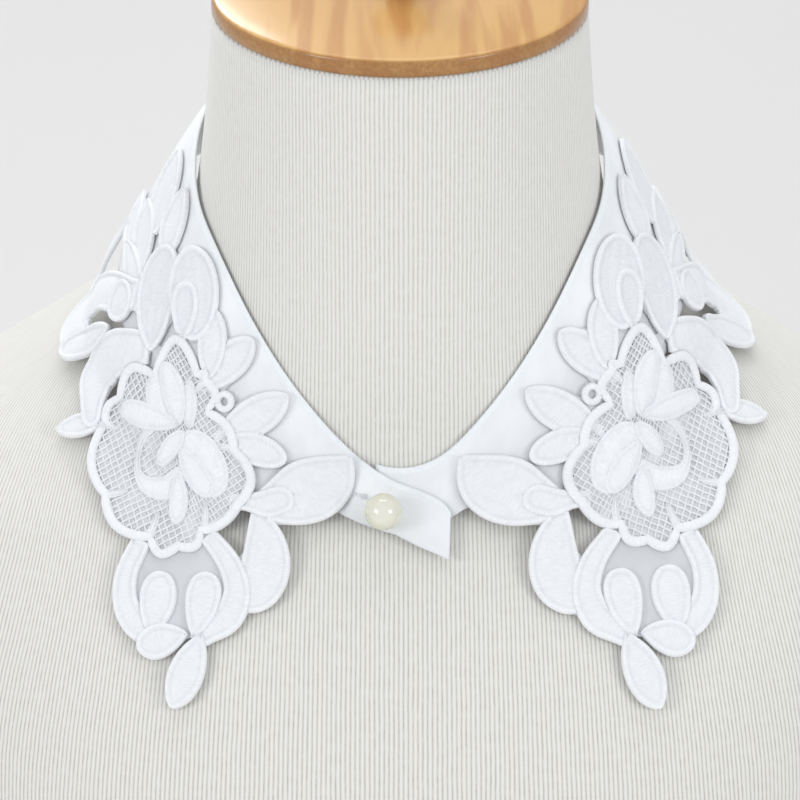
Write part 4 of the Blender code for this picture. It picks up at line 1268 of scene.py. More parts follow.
@dataclass
class JerseyCover:
    """The form's ribbed jersey skin.

    Args:
        sides: points round each ring.
        steps: rings for each row of the table.
        fan: how much the ribs spread over the shoulders.
    """

    sides: int = 192
    steps: int = 6
    fan: float = 0.3

    def build(self) -> bpy.types.Object:
        """Build the skin with its ribs' coordinates.

        Returns:
            The skin.
        """
        shape = FormShape(self.sides, self.steps)
        rings = np.concatenate([shape.grid, shape.grid[:, :1]], axis=1)
        lengths = np.linalg.norm(np.diff(rings, axis=1), axis=2)
        around = np.concatenate([np.zeros((len(rings), 1)), np.cumsum(lengths, axis=1)], axis=1) / MM
        around = np.where(around > around[:, -1:] / 2, around - around[:, -1:], around)
        rise = np.clip((rings[:, :1, 2] - 0.47) / 0.15, 0, 1)
        spread = rise * rise * (3 - 2 * rise)
        across = around * (1 + self.fan * spread * np.clip(np.abs(around) / 110, 0, 1))
        up = np.repeat(rings[:, :1, 2] / MM, rings.shape[1], axis=1)
        drawing = Drawing.empty()
        columns = rings.shape[1]
        half = columns // 2
        for first, last in ((0, half), (half, columns - 1)):
            part = rings[:, first:last + 1]
            u = across[:, first:last + 1].copy()
            if first:
                u[:, 0] = -np.abs(u[:, 0])
            uvs = np.stack([u, up[:, first:last + 1]], axis=2).reshape(-1, 2)
            faces = grid_faces(len(rings), last + 1 - first)
            drawing.add(part.reshape(-1, 3), faces, uvs)
        for ring, order in ((rings[0, :-1], slice(None, None, -1)), (rings[-1, :-1], slice(None))):
            drawing.add(ring, [tuple(range(len(ring)))[order]], ring[:, :2] / MM)
        cover = drawing.object("jersey_cover", [JERSEY.material()])
        weld = cover.modifiers.new("weld", "WELD")
        weld.merge_threshold = 1e-6
        cover.data.set_sharp_from_angle(angle=math.radians(50))
        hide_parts("dress_form")
        return cover


@dataclass
class Band:
    """The organza band with its tab, its rolled hem and the buttonhole's stitches.

    Args:
        net: the surface that it lies on.
        clearance: metres between the cloth and the surface; not used.
        wall: metres through the cloth.
        columns: points across the band.
    """

    net: CollarNet
    clearance: float = 0.5 * MM
    wall: float = 0.6 * MM
    columns: int = 25

    def rows(self) -> Array:
        """The band's rows from the end under the tab round to the tab's end.

        Returns:
            An array of TabRow values.
        """
        widths = smooth_rows(BAND_WIDTHS, 4)
        azimuths = np.linspace(-6.5, 344.0, 240)
        folded = np.minimum(np.abs(azimuths), 360 - azimuths)
        width = np.interp(folded, widths[:, 0], widths[:, 1])
        zero = np.zeros_like(azimuths)
        plain = np.stack([azimuths, zero, azimuths, width, zero + 0.5], axis=1)
        tab = smooth_rows([plain[-1] - [360, 0, 360, 0, 0]] + [tuple(r) for r in TAB_ROWS], 4)[1:]
        tab[:, [0, 2]] += 360
        return np.concatenate([plain, tab])

    def skin(self, rows: Array, extra: float) -> Array:
        """A grid of points on one face of the cloth.

        Args:
            rows: the band's rows.
            extra: metres above the cloth's inner face.

        Returns:
            The points by row and column.
        """
        share = np.linspace(0, 1, self.columns)
        azimuth = rows[:, :1] + (rows[:, 2:3] - rows[:, :1]) * share
        reach = rows[:, 1:2] + (rows[:, 3:4] - rows[:, 1:2]) * share
        lift = np.repeat(rows[:, 4:] * MM, self.columns, axis=1) + extra
        return self.net.at(azimuth, reach, lift)

    def build(self) -> bpy.types.Object:
        """Build the band and its hem.

        Returns:
            The band.
        """
        rows = self.rows()
        outer, inner = self.skin(rows, self.wall), self.skin(rows, 0.0)
        share = np.linspace(0, 1, self.columns)
        down = rows[:, 1:2] + (rows[:, 3:4] - rows[:, 1:2]) * share
        along = np.cumsum(np.concatenate([[0], np.linalg.norm(np.diff(outer[:, 0], axis=0), axis=1)]))
        uvs = np.stack([np.repeat(along[:, None] / MM, self.columns, axis=1), down - rows[:, 1:2]], axis=2)
        count = len(rows) * self.columns
        faces = [f[::-1] for f in grid_faces(len(rows), self.columns)]
        faces += [tuple(count + v for v in f) for f in grid_faces(len(rows), self.columns)]
        last = (len(rows) - 1) * self.columns
        for j in range(self.columns - 1):
            faces.append((j, j + 1, count + j + 1, count + j))
            faces.append((last + j + 1, last + j, count + last + j, count + last + j + 1))
        for i in range(len(rows) - 1):
            a, b = i * self.columns, (i + 1) * self.columns
            faces.append((b, a, count + a, count + b))
            c, d = a + self.columns - 1, b + self.columns - 1
            faces.append((c, d, count + d, count + c))
        drawing = Drawing.empty()
        points = np.concatenate([outer.reshape(-1, 3), inner.reshape(-1, 3)])
        drawing.add(points, faces, np.concatenate([uvs.reshape(-1, 2)] * 2))
        band = drawing.object("organza_band", [ORGANZA.material()])
        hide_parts("collar_band")
        hem = self.hem(rows)
        stitches = self.buttonhole()
        return band

    def hem(self, rows: Array) -> bpy.types.Object:
        """The rolled hem along the band's upper edge and the tab's.

        Args:
            rows: the band's rows.

        Returns:
            The hem.
        """
        flat = np.linspace(0, 1, 9)
        across = flat * 2.3 - 0.15
        swell = np.sqrt(np.clip(1 - (2 * flat - 1) ** 2, 0, 1)) * 0.2 * MM
        lift = (rows[:, 4:] * MM) + self.wall + swell - 0.1 * MM
        azimuth = np.repeat(rows[:, :1], len(flat), axis=1)
        outer = self.net.at(azimuth, rows[:, 1:2] + across, lift)
        under = self.net.at(azimuth, rows[:, 1:2] + across, rows[:, 4:] * MM - 0.05 * MM + 0 * lift)
        ring = np.concatenate([outer, under[:, ::-1]], axis=1)
        along = np.cumsum(np.concatenate([[0], np.linalg.norm(np.diff(outer[:, 0], axis=0), axis=1)]))
        count = ring.shape[1]
        uvs = np.stack([np.repeat(along[:, None] / MM, count, axis=1),
                        np.repeat(np.arange(count)[None] * 0.3, len(rows), axis=0)], axis=2)
        drawing = Drawing.empty()
        faces = [f[::-1] for f in grid_faces(len(rows), count, True)]
        faces.append(tuple(range(count)))
        faces.append(tuple(range(len(rows) * count - 1, (len(rows) - 1) * count - 1, -1)))
        drawing.add(ring.reshape(-1, 3), faces, uvs.reshape(-1, 2))
        hem = drawing.object("rolled_hem", [HEM.material()])
        return hem

    def buttonhole(self) -> bpy.types.Object:
        """The stitched end of the buttonhole beside the pearl.

        Returns:
            The stitches.
        """
        drawing = Drawing.empty()
        rng = random.Random(7)
        for k in range(15):
            t = k / 14
            azimuth = -12.4 + 4.6 * t
            reach = 12.9 - 1.8 * t
            half = 0.75 + rng.uniform(-0.1, 0.1)
            ends = [(azimuth - 0.2, reach - half), (azimuth + 0.2, reach + half)]
            path = []
            for share in np.linspace(0, 1, 5):
                a = ends[0][0] + (ends[1][0] - ends[0][0]) * share
                r = ends[0][1] + (ends[1][1] - ends[0][1]) * share
                lift = (0.5 + 1.3 * min(1.0, max(0.0, (azimuth + 13) / 4)) + 0.65) * MM
                path.append(self.net.at(a, r, lift + math.sin(math.pi * share) * 0.15 * MM))
            points, faces, uvs = tube(np.array(path), 0.16 * MM, 5)
            drawing.add(points, faces, uvs)
        stitches = drawing.object("buttonhole_stitches", [THREAD.material()])
        return stitches


def tube(path: Array, radius: float, sides: int) -> tuple[Array, list[tuple], Array]:
    """A thread along a path.

    Args:
        path: points in metres.
        radius: the thread's radius in metres.
        sides: points round it.

    Returns:
        Its points, faces and coordinates.
    """
    tangent = unit(np.gradient(path, axis=0))
    found = [np.cross(tangent[0], np.eye(3)[np.argmin(np.abs(tangent[0]))])]
    for along in tangent:
        found.append(unit(found[-1] - along * (found[-1] @ along)))
    side = np.array(found[1:])
    other = np.cross(tangent, side)
    angle = np.linspace(0, 2 * math.pi, sides, endpoint=False)
    ring = np.cos(angle)[None, :, None] * side[:, None] + np.sin(angle)[None, :, None] * other[:, None]
    points = path[:, None] + ring * radius
    length = np.cumsum(np.concatenate([[0], np.linalg.norm(np.diff(path, axis=0), axis=1)])) / MM
    uvs = np.stack([np.repeat(length[:, None], sides, axis=1),
                    np.repeat(angle[None] * radius / MM, len(path), axis=0)], axis=2)
    faces = grid_faces(len(path), sides, True)
    faces.append(tuple(range(sides - 1, -1, -1)))
    faces.append(tuple(range((len(path) - 1) * sides, len(path) * sides)))
    return points.reshape(-1, 3), faces, uvs.reshape(-1, 2)


def cord_profile(depth: Array, half: Array, stitch: Stitch) -> Array:
    """How high satin stands at a depth inside its outline.

    Args:
        depth: millimetres inside the outline.
        half: half the motif's width there, in millimetres.
        stitch: how the motif is filled.

    Returns:
        Millimetres above the motif's own ground.
    """
    widest = {Stitch.SATIN: 1.7, Stitch.SHEER: 1.6, Stitch.HEART: 1.1}[stitch]
    rim_height = {Stitch.SATIN: 1.0, Stitch.SHEER: 0.85, Stitch.HEART: 0.7}[stitch]
    fill_height = {Stitch.SATIN: 0.42, Stitch.SHEER: 0.22, Stitch.HEART: 0.6}[stitch]
    crown = {Stitch.SATIN: 0.4, Stitch.SHEER: 0.1, Stitch.HEART: 0.55}[stitch]
    cord = np.minimum(widest, np.maximum(half * 0.5, 0.3))
    x = np.clip(depth / cord, 0, 1)
    rim = rim_height * np.sqrt(np.clip(1 - (2 * x - 1) ** 2, 0, 1))
    inner = np.clip((depth - cord) / np.maximum(half - cord, 0.5), 0, 1)
    fill = fill_height * np.clip(depth / 0.7, 0, 1) + crown * np.sin(inner * math.pi / 2)
    return np.maximum(rim, fill)


class Ribbon:
    """A motif as rows of points from its left edge to its right one.

    Args:
        middle: its middle line.
        half: half its width along that line.
        normal: unit vectors to the left of that line.
        level: millimetres that it lies above the lace's ground.
        stitch: how it is filled.
        veined: whether grooves run along it.
    """

    ROW_STEP = 0.65
    COLUMN_STEP = 0.45
    VEIN_DEPTH = 0.28
    VEIN_WIDTH = 0.5
    SIDE_VEINS_FROM = 6.0
    SKIRT = 0.35
    PRESSED = 0.02

    def __init__(self, middle: Array, half: Array, normal: Array, level: float, stitch: Stitch,
                 veined: bool = False) -> None:
        self.middle, self.half, self.normal = middle, half, normal
        self.level, self.stitch, self.veined = level, stitch, veined
        self.across = int(np.clip(2 * half.max() / self.COLUMN_STEP, 13, 41))

    @classmethod
    def leaf(cls, leaf: Leaf) -> "Ribbon":
        """A leaf or petal.

        Args:
            leaf: its row of the table.

        Returns:
            The motif.
        """
        base, tip = np.array([leaf.base_x, leaf.base_y]), np.array([leaf.tip_x, leaf.tip_y])
        chord = tip - base
        length = np.linalg.norm(chord)
        side = np.array([-chord[1], chord[0]]) / length
        t = (1 - np.cos(np.linspace(0, math.pi, max(18, int(length / cls.ROW_STEP))))) / 2
        middle = base + chord * t[:, None] + side * (4 * leaf.bend * t * (1 - t))[:, None]
        slope = chord + side * (4 * leaf.bend * (1 - 2 * t))[:, None]
        normal = unit(np.stack([-slope[:, 1], slope[:, 0]], axis=1))
        swell = (t / leaf.belly) ** (leaf.sharpness * leaf.belly)
        swell *= ((1 - t) / (1 - leaf.belly)) ** (leaf.sharpness * (1 - leaf.belly))
        return cls(middle, leaf.width / 2 * swell, normal, leaf.level, leaf.stitch, True)

    @classmethod
    def scroll(cls, points: Sequence[ScrollPoint], level: float, stitch: Stitch) -> "Ribbon":
        """A band of satin along a curved line, round at its end.

        Args:
            points: the scroll's table.
            level: millimetres above the lace's ground.
            stitch: how it is filled.

        Returns:
            The motif.
        """
        table = np.array(points, float)
        ends = np.concatenate([2 * table[:1] - table[1:2], table, 2 * table[-1:] - table[-2:-1]])
        rows = []
        for i in range(1, len(ends) - 2):
            before, start, end, after = ends[i - 1:i + 3]
            for t in np.arange(10) / 10:
                rows.append(0.5 * (2 * start + (end - before) * t
                                   + (2 * before - 5 * start + 4 * end - after) * t**2
                                   + (3 * start - before - 3 * end + after) * t**3))
        rows = np.array(rows + [table[-1]])
        slope = unit(np.gradient(rows[:, :2], axis=0))
        radius = rows[-1, 2] / 2
        turn = np.linspace(0, math.pi / 2, 9)[1:]
        tail = np.stack([rows[-1, 0] + slope[-1, 0] * radius * np.sin(turn),
                         rows[-1, 1] + slope[-1, 1] * radius * np.sin(turn),
                         rows[-1, 2] * np.cos(turn)], axis=1)
        rows = np.concatenate([rows, tail])
        slope = np.concatenate([slope, np.repeat(slope[-1:], len(tail), axis=0)])
        normal = np.stack([-slope[:, 1], slope[:, 0]], axis=1)
        return cls(rows[:, :2], rows[:, 2] / 2, normal, level, stitch)

    def outline(self) -> Array:
        """The motif's edge.

        Returns:
            Points round the motif.
        """
        left = self.middle + self.normal * self.half[:, None]
        right = self.middle - self.normal * self.half[:, None]
        return np.concatenate([left, right[::-1]])

    def draw(self, chart: Chart, place: LacePlace, base: float, drawing: Drawing, slot: int,
             above: Sequence[tuple[Array, float]]) -> None:
        """Add the motif to a drawing, pressed flat where another lies on it.

        Args:
            chart: the surface.
            place: the lace that it belongs to.
            base: millimetres from the surface to the lace's ground.
            drawing: what it is added to.
            slot: its material number.
            above: outline and level of each motif that lies over it.
        """
        spread = np.sin(np.linspace(-math.pi / 2, math.pi / 2, self.across))
        drawn = self.middle[:, None] + self.normal[:, None] * (self.half[:, None] * spread)[..., None]
        flat = drawn.reshape(-1, 2)
        outline = self.outline()
        edge = np.roll(outline, -1, axis=0) - outline
        offset = flat[:, None] - outline
        share = np.clip((offset * edge).sum(axis=2) / np.maximum((edge**2).sum(axis=1), 1e-9), 0, 1)
        depth = np.linalg.norm(offset - share[..., None] * edge, axis=2).min(axis=1)
        half = np.repeat(self.half, self.across)
        lift = base + self.level + cord_profile(depth, np.maximum(half, depth), self.stitch)
        if self.veined:
            lift = lift - self.veins(spread).ravel() * np.clip(depth - 1.2, 0, 1)
        low, high = flat.min(axis=0), flat.max(axis=0)
        for cover, level in above:
            if (cover.max(axis=0) > low).all() and (cover.min(axis=0) < high).all():
                pressed = within(flat, cover)
                lift[pressed] = np.minimum(lift[pressed], base + level + self.PRESSED)
        top = chart.lay(place, flat, lift)
        rows = len(self.middle)
        rim = np.concatenate([
            np.arange(self.across),
            np.arange(1, rows) * self.across + self.across - 1,
            (rows - 1) * self.across + np.arange(self.across - 2, -1, -1),
            np.arange(rows - 2, 0, -1) * self.across,
        ])
        skirt = chart.lay(place, flat[rim], np.full(len(rim), base - self.SKIRT))
        length = np.cumsum(np.concatenate([[0], np.linalg.norm(np.diff(self.middle, axis=0), axis=1)]))
        uvs = np.stack([np.repeat(length, self.across) + self.level * 37 + self.middle[0, 0],
                        (self.half[:, None] * spread).ravel()], axis=1)
        count = rows * self.across
        faces = [f[::-1] for f in grid_faces(rows, self.across)]
        for k, point in enumerate(rim):
            after = (k + 1) % len(rim)
            faces.append((point, rim[after], count + after, count + k))
        if place.side > 0:
            faces = [f[::-1] for f in faces]
        drawing.add(np.concatenate([top, skirt]), faces, np.concatenate([uvs, uvs[rim]]), slot,
                    np.concatenate([depth, np.zeros(len(rim))]))

    def veins(self, spread: Array) -> Array:
        """Grooves along the midrib, and beside it on a wide leaf.

        Args:
            spread: each column's share of the half width.

        Returns:
            Millimetres that each point lies lower.
        """
        t = np.linspace(0, 1, len(self.middle))[:, None]
        fade = np.clip(t * 6, 0, 1) * np.clip((0.86 - t) * 6, 0, 1)
        across = self.half[:, None] * spread
        shares = (-0.48, 0.0, 0.48) if self.half.max() > self.SIDE_VEINS_FROM else (0.0,)
        groove = np.zeros_like(across)
        for share in shares:
            away = (across - share * self.half[:, None]) / self.VEIN_WIDTH
            groove = np.maximum(groove, np.exp(-away**2))
        return groove * fade * self.VEIN_DEPTH


class Rose:
    """The net-filled rose with its scalloped cord."""

    PER_SCALLOP = 14
    CORD = 2.9
    ACROSS = 9

    def __init__(self) -> None:
        centre = np.array(ROSE_CENTRE)
        angle = np.radians([s.angle for s in ROSE])
        reach = np.array([s.reach for s in ROSE])
        notches = centre + np.stack([np.cos(angle), np.sin(angle)], axis=1) * reach[:, None]
        outline = []
        for k, scallop in enumerate(ROSE):
            start, end = notches[k], notches[(k + 1) % len(notches)]
            out = unit(np.array([end[1] - start[1], start[0] - end[0]]))
            for t in np.arange(self.PER_SCALLOP) / self.PER_SCALLOP:
                bulge = math.sin(math.pi * t) ** 0.8 * scallop.bulge
                outline.append(start + (end - start) * t + out * bulge)
        self.notches = notches
        self.outline = np.array(outline)
        spokes = unit(self.outline - centre)
        tangent = unit(np.roll(self.outline, -2, axis=0) - np.roll(self.outline, 2, axis=0))
        inward = np.stack([-tangent[:, 1], tangent[:, 0]], axis=1)
        self.inward = unit(inward - spokes * 0.8)
        self.inner = self.outline + self.inward * self.CORD
        self.centre = centre

    def spurs(self) -> list[Ribbon]:
        """The cords that run in from the notches.

        Returns:
            One motif for each.
        """
        found = []
        for spur in ROSE_SPURS:
            heading = math.radians(spur.heading)
            way = np.array([math.cos(heading), math.sin(heading)])
            side = np.array([-way[1], way[0]])
            start = self.notches[spur.notch] + way * 0.8
            points = []
            for share, aside, width in ((0, 0, 2.6), (0.4, 0.25, 2.2), (0.75, 0.3, 1.7), (1, 0, 1.1)):
                place = start + way * spur.length * share + side * aside
                points.append(ScrollPoint(place[0], place[1], width))
            found.append(Ribbon.scroll(points, 0.25, Stitch.HEART))
        return found

    def draw_cord(self, chart: Chart, place: LacePlace, base: float, drawing: Drawing, slot: int) -> None:
        """Add the scalloped cord.

        Args:
            chart: the surface.
            place: the lace that it belongs to.
            base: millimetres from the surface to the lace's ground.
            drawing: what it is added to.
            slot: its material number.
        """
        share = np.linspace(0, 1, self.ACROSS)
        drawn = self.outline[:, None] + self.inward[:, None] * (share * self.CORD)[None, :, None]
        height = 0.25 + 0.85 * np.sqrt(np.clip(1 - (2 * share - 1) ** 2, 0, 1))
        low = np.full(self.ACROSS, -0.35)
        rings = []
        for profile, order in ((height, slice(None)), (low, slice(None, None, -1))):
            points = drawn[:, order].reshape(-1, 2)
            lift = base + 0.35 + np.tile(profile[order], len(self.outline))
            rings.append(chart.lay(place, points, lift).reshape(len(self.outline), self.ACROSS, 3))
        ring = np.concatenate(rings, axis=1)
        steps = np.linalg.norm(np.diff(self.outline, axis=0, append=self.outline[:1]), axis=1)
        along = np.concatenate([[0], np.cumsum(steps)[:-1]])
        count = ring.shape[1]
        uvs = np.stack([np.repeat(along[:, None], count, axis=1),
                        np.repeat(np.arange(count)[None] * 0.33, len(along), axis=0)], axis=2)
        faces = []
        for i in range(len(ring)):
            k = (i + 1) % len(ring)
            for j in range(count):
                m = (j + 1) % count
                faces.append((i * count + j, i * count + m, k * count + m, k * count + j))
        if place.side > 0:
            faces = [f[::-1] for f in faces]
        drawing.add(ring.reshape(-1, 3), faces, uvs.reshape(-1, 2), slot)

    def inside(self, points: Array) -> Array:
        """Which points lie within the cord's inner edge.

        Args:
            points: drawn points.

        Returns:
            A mask.
        """
        return within(points, self.outline + self.inward * (self.CORD * 0.6))


@dataclass
class NetThreads:
    """The open net inside the rose.

    Args:
        rose: the rose.
        pitch: millimetres from thread to thread.
        radius: a thread's radius in millimetres.
    """

    rose: Rose
    pitch: float = 2.05
    radius: float = 0.33

    def steep(self, x: float) -> float:
        """How far the upright threads lean at a place across the rose.

        Args:
            x: millimetres across.

        Returns:
            The lean in radians.
        """
        share = min(1.0, max(0.0, (-6.0 - x) / 12.0))
        return math.radians(11.0 + 15.0 * share)

    def draw(self, chart: Chart, place: LacePlace, base: float, drawing: Drawing, slot: int) -> None:
        """Add both sets of threads.

        Args:
            chart: the surface.
            place: the lace that they belong to.
            base: millimetres from the surface to the lace's ground.
            drawing: what they are added to.
            slot: their material number.
        """
        rng = random.Random(11 + place.side)
        centre = self.rose.centre
        reach = 42.0
        for family in (0, 1):
            for k in np.arange(-reach, reach, self.pitch):
                if family:
                    lean = math.radians(-21.0)
                    start = centre + np.array([-reach, k + reach * math.tan(-lean)])
                    step = lambda p, a=lean: np.array([math.cos(a), math.sin(a)])
                else:
                    start = centre + np.array([k - reach * 0.25, -reach])
                    step = lambda p: np.array([math.sin(self.steep(p[0])), math.cos(self.steep(p[0]))])
                path, point = [], start + rng.uniform(-0.12, 0.12)
                wobble = rng.uniform(0, 6.28)
                for m in range(int(2 * reach / 0.7)):
                    path.append(point + np.array([0.08, 0.08]) * math.sin(wobble + m * 0.9))
                    point = point + step(point) * 0.7
                path = np.array(path)
                keep = self.rose.inside(path)
                edges = np.flatnonzero(np.diff(np.concatenate([[False], keep, [False]]).astype(int)))
                for first, last in zip(edges[::2], edges[1::2]):
                    if last - first < 4:
                        continue
                    run = path[first:last]
                    lift = base + (0.10 if family else -0.04) + 0.05 * np.sin(np.arange(len(run)) * 1.5)
                    points, faces, uvs = tube(chart.lay(place, run, lift), self.radius * MM, 4)
                    drawing.add(points, faces, uvs, slot)


@dataclass
class Lace:
    """One embroidered lace front.

    Args:
        chart: the surface that it is drawn on.
        place: where it lies.
        base: millimetres from the surface to its ground.
    """

    chart: Chart
    place: LacePlace
    base: float = 2.15

    def motifs(self) -> tuple[list[Ribbon], list[Ribbon]]:
        """Every motif, the ones under the rose's cord and the ones over it.

        Returns:
            Both lists.
        """
        low = [Ribbon.leaf(leaf) for leaf in LOW_LEAVES]
        low.append(Ribbon.scroll(LEAF_STALK, 0.1, Stitch.SATIN))
        low.append(Ribbon.scroll(SHOULDER_SCROLL, 0.25, Stitch.SATIN))
        low.append(Ribbon.scroll(SHOULDER_SWEEP, 0.35, Stitch.SATIN))
        low.append(Ribbon.scroll(SCROLL_LEFT, 0.15, Stitch.SATIN))
        low.append(Ribbon.scroll(SCROLL_RIGHT, 0.15, Stitch.SATIN))
        low += [Ribbon.leaf(leaf) for leaf in HIGH_LEAVES]
        high = [Ribbon.scroll(HEART_SWEEP, 0.4, Stitch.HEART)]
        high += [Ribbon.leaf(leaf) for leaf in HEART_PETALS]
        return low, high

    def build(self) -> bpy.types.Object:
        """Build the lace: its sheer ground, satin motifs and net.

        Returns:
            The ground, which the rest lies on.
        """
        name = self.place.name
        rose = Rose()
        ground = self.ground(rose)
        satin = Drawing.empty()
        low, high = self.motifs()
        spurs = rose.spurs()
        covers = [(motif.outline(), motif.level) for motif in low]
        covers.append((rose.outline, 0.0))
        covers += [(motif.outline(), motif.level) for motif in high]
        for k, motif in enumerate(low + high):
            above = covers[k + 1:] if k < len(low) else covers[k + 2:]
            motif.draw(self.chart, self.place, self.base, satin, list(Stitch).index(motif.stitch), above)
        for spur in spurs:
            spur.draw(self.chart, self.place, self.base, satin, 0, [])
        rose.draw_cord(self.chart, self.place, self.base, satin, 0)
        self.picot(satin)
        finishes = [finish.material() for finish in (SATIN, SHEER_SATIN, HEART_SATIN)]
        worked = satin.object(name + "_satin", finishes)
        threads = Drawing.empty()
        NetThreads(rose).draw(self.chart, self.place, self.base, threads, 0)
        net = threads.object(name + "_net", [THREAD.material()])
        return ground

    def picot(self, drawing: Drawing) -> None:
        """Add the small ring beside the rose.

        Args:
            drawing: what it is added to.
        """
        angle = np.linspace(0, 2 * math.pi, 25)
        ring = np.array(RING_PICOT) + np.stack([np.cos(angle), np.sin(angle)], axis=1) * 2.1
        path = self.chart.lay(self.place, ring, np.full(len(ring), self.base + 0.5))
        points, faces, uvs = tube(path, 1.05 * MM, 10)
        drawing.add(points, faces, uvs)

    def ground(self, rose: Rose) -> bpy.types.Object:
        """The sheer ground, cut like the lace's solid and closer behind the net.

        Args:
            rose: the rose that holds the net.

        Returns:
            The ground.
        """
        solid = bpy.data.objects[self.place.name].data
        points = np.array([v.co for v in solid.vertices])
        away = Vector((self.place.side * 0.35, -0.45, 0.8))
        plain, netted = [], []
        for polygon in solid.polygons:
            if polygon.normal.dot(away) > -0.05:
                continue
            facing, drawn = self.below(polygon.center)
            if facing.dot(polygon.normal) < -0.8:
                kept = netted if rose.inside(drawn[None])[0] else plain
                kept.append(tuple(reversed(polygon.vertices)))
        drawing = Drawing.empty()
        uvs = points[:, [0, 2]] / MM
        drawing.add(points, plain, uvs)
        drawing.faces += netted
        drawing.slots += [1] * len(netted)
        ground = drawing.object(self.place.name + "_ground", [LACE_GROUND.material(), NET_GROUND.material()])
        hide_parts(self.place.name)
        return ground

    def below(self, point: Vector) -> tuple[Vector, Array]:
        """The surface's facing under a point of the lace, and where the point is drawn.

        Args:
            point: a point in metres.

        Returns:
            The unit normal and the drawn point.
        """
        flipped = np.array([point.x * self.place.side, point.y, point.z])
        near = np.linalg.norm(self.chart.points - flipped, axis=2)
        i, j = np.unravel_index(np.nanargmin(near), near.shape)
        facing = Vector(self.chart.normals[i, j] * np.array([self.place.side, 1.0, 1.0]))
        laid = np.array(self.chart.LOW) + np.array([i, j]) * self.chart.CELL
        place = self.place
        shear = np.array([[place.wide, place.lean], [place.drop, place.high]])
        return facing, np.linalg.solve(shear, laid - np.array([place.across, place.up]))


@dataclass
class Turning:
    """The wooden cap, its knob and the pearl, turned about their axes.

    Args:
        net: the surface that the pearl stands off.
    """

    net: CollarNet

    def turned(self, name: str, profile: Sequence[tuple[float, float]], sides: int,
               centre: Array, axis: Array, material: bpy.types.Material) -> bpy.types.Object:
        """A solid turned from rows of radius and height.

        Args:
            name: the object's name.
            profile: radius and height in millimetres.
            sides: points round it.
            centre: where the axis starts.
            axis: the axis.
            material: its material.

        Returns:
            The object.
        """
        across = unit(np.cross(axis, np.array([0.0, 0.97, 0.24])))
        other = np.cross(axis, across)
        angle = np.linspace(0, 2 * math.pi, sides, endpoint=False)
        spokes = np.cos(angle)[:, None] * across + np.sin(angle)[:, None] * other
        rows = np.array(profile) * MM
        points = np.array([centre + axis * h + spokes * r for r, h in rows])
        drawing = Drawing.empty()
        faces = grid_faces(len(rows), sides, True)
        faces.append(tuple(range(sides - 1, -1, -1)))
        faces.append(tuple(range((len(rows) - 1) * sides, len(rows) * sides)))
        drawing.add(points.reshape(-1, 3), faces, np.zeros((len(rows) * sides, 2)))
        made = drawing.object(name, [material])
        made.data.set_sharp_from_angle(angle=math.radians(40))
        return made

    def build(self) -> list[bpy.types.Object]:
        """Build the cap, the knob and the pearl.

        Returns:
            The three pieces.
        """
        top = SECTIONS[-1]
        tilt = math.radians(top.tilt)
        axis = np.array([0.0, -math.sin(tilt), math.cos(tilt)])
        centre = np.array([0.0, top.centre, top.height]) * MM
        wood = WOOD.material()
        rim = [(54.6, 0.3), (55.3, 0.5), (55.6, 1.0), (55.6, 4.6), (55.4, 5.1), (55.0, 5.5), (54.0, 5.8), (30.0, 5.8)]
        cap = self.turned("wood_cap", rim, 128, centre, axis, wood)
        rows = [(7.4, 6.1), (7.6, 7.2), (4.6, 9.2), (4.3, 11.4), (7.4, 14.6),
                (9.0, 18.2), (8.4, 21.6), (5.6, 23.8), (2.0, 24.6)]
        knob = self.turned("wood_knob", smooth_rows(rows, 5), 48, centre, axis, wood)
        foot = self.net.at(-3.8, 16.0, 0.0)
        out = unit(self.net.at(-3.8, 16.0, 1.0) - foot)
        angle = np.linspace(0.02, math.pi - 0.02, 36)
        ball = np.stack([np.sin(angle) * 5.45, 8.6 - np.cos(angle) * 5.45], axis=1)
        pearl = self.turned("pearl", ball, 56, foot, out, PEARL.material())
        for piece, node in ((cap, "neck_cap"), (knob, "neck_knob"), (pearl, "pearl_button")):
            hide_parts(node)
        return [cap, knob, pearl]


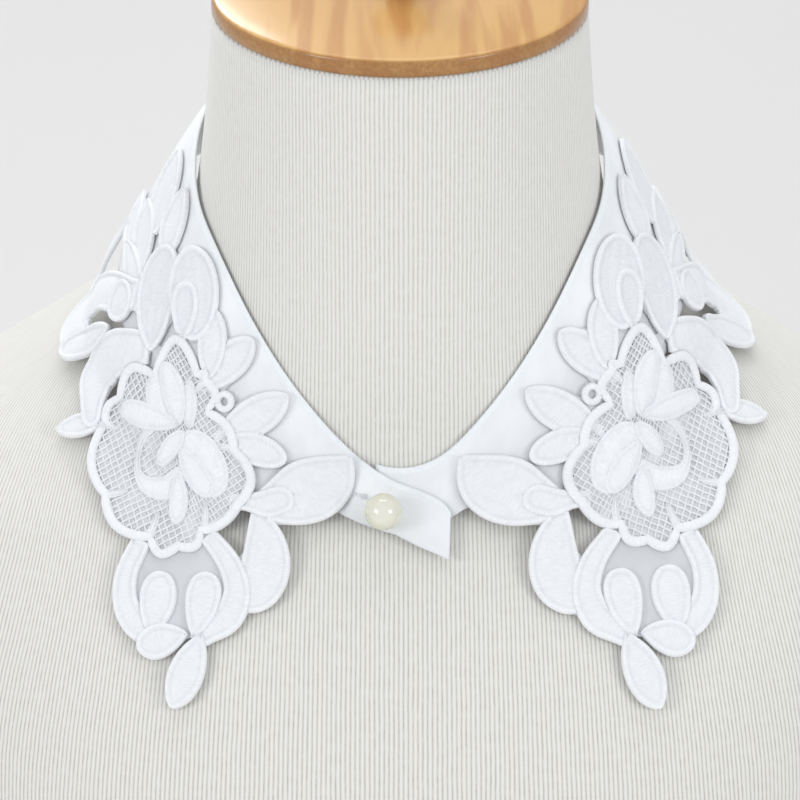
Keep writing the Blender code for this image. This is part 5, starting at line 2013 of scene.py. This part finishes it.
@dataclass
class Studio:
    """The pale floor and backdrop, the soft lights and the camera.

    Args:
        target: what the camera looks at.
        distance: how far off it stands.
        elevation: degrees above level.
        pixels: focal length in pixels of an 800-pixel frame.
    """

    target: tuple[float, float, float] = (0.0, -0.030, 0.588)
    distance: float = 1.1
    elevation: float = 16.0
    pixels: float = 3667.0

    def build(self) -> None:
        """Build the stage, the lights and the camera."""
        self.floor()
        self.lights()
        self.camera()

    def floor(self) -> None:
        """A floor that sweeps up behind the form."""
        profile = [(-3.0, 0.0), (1.2, 0.0)]
        for t in np.linspace(0, math.pi / 2, 9)[1:]:
            profile.append((1.2 + math.sin(t) * 0.8, 0.8 - math.cos(t) * 0.8))
        profile.append((2.0, 3.0))
        points = [(x, y, z) for y, z in profile for x in (-3.5, 3.5)]
        faces = grid_faces(len(profile), 2)
        mesh = bpy.data.meshes.new("floor")
        mesh.from_pydata(points, [], faces)
        if mesh.polygons[0].normal.z < 0:
            mesh.flip_normals()
        mesh.shade_smooth()
        mesh.materials.append(FLOOR.material())
        floor = bpy.data.objects.new("floor", mesh)
        bpy.context.scene.collection.objects.link(floor)

    def lights(self) -> None:
        """Soft lights all round the form and a pale world."""
        world = bpy.data.worlds.new("studio")
        world.use_nodes = True
        back = world.node_tree.nodes["Background"]
        back.inputs[0].default_value = (0.95, 0.97, 1.0, 1.0)
        back.inputs[1].default_value = 0.75
        bpy.context.scene.world = world
        self.light("left", (-1.15, -1.15, 0.95), 0.5, 5.6)
        self.light("right", (1.15, -1.15, 0.9), 0.5, 5.0)
        self.light("above", (0.0, 0.2, 1.9), 0.8, 4.0)
        self.light("glare", (-0.6, 1.3, 1.85), 0.6, 10.0)

    def light(self, name: str, place: tuple[float, float, float], size: float, power: float) -> None:
        """One square soft light that faces the target.

        Args:
            name: the light's name.
            place: where it stands.
            size: its side in metres.
            power: its power in watts.
        """
        lamp = bpy.data.lights.new(name, "AREA")
        lamp.size = size
        lamp.energy = power
        made = bpy.data.objects.new(name, lamp)
        bpy.context.scene.collection.objects.link(made)
        aim = Vector(self.target) - Vector(place)
        made.matrix_world = Matrix.Translation(place) @ aim.to_track_quat("-Z", "Y").to_matrix().to_4x4()

    def camera(self) -> None:
        """The camera of the photo."""
        lens = bpy.data.cameras.new("camera")
        lens.sensor_width = 36.0
        lens.lens = 36.0 * self.pixels / 800.0
        lens.clip_start = 0.05
        made = bpy.data.objects.new("camera", lens)
        bpy.context.scene.collection.objects.link(made)
        turn = math.radians(self.elevation)
        offset = Vector((0.0, -math.cos(turn), math.sin(turn))) * self.distance
        made.location = Vector(self.target) + offset
        made.rotation_euler = (-offset).to_track_quat("-Z", "Y").to_euler()
        bpy.context.scene.camera = made


def main() -> None:
    """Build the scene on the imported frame."""
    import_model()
    scene = bpy.context.scene
    scene.view_settings.view_transform = "Standard"
    Studio().build()
    LOG.info("studio")
    JerseyCover().build()
    LOG.info("jersey cover")
    net = CollarNet()
    Band(net).build()
    LOG.info("organza band")
    chart = Chart(net)
    for place in LACE_PLACES:
        Lace(chart, place).build()
        LOG.info("%s", place.name)
    Turning(net).build()
    LOG.info("cap, knob and pearl")


if __name__ == "__main__":
    logging.basicConfig(level=logging.INFO, format="%(message)s")
    main()
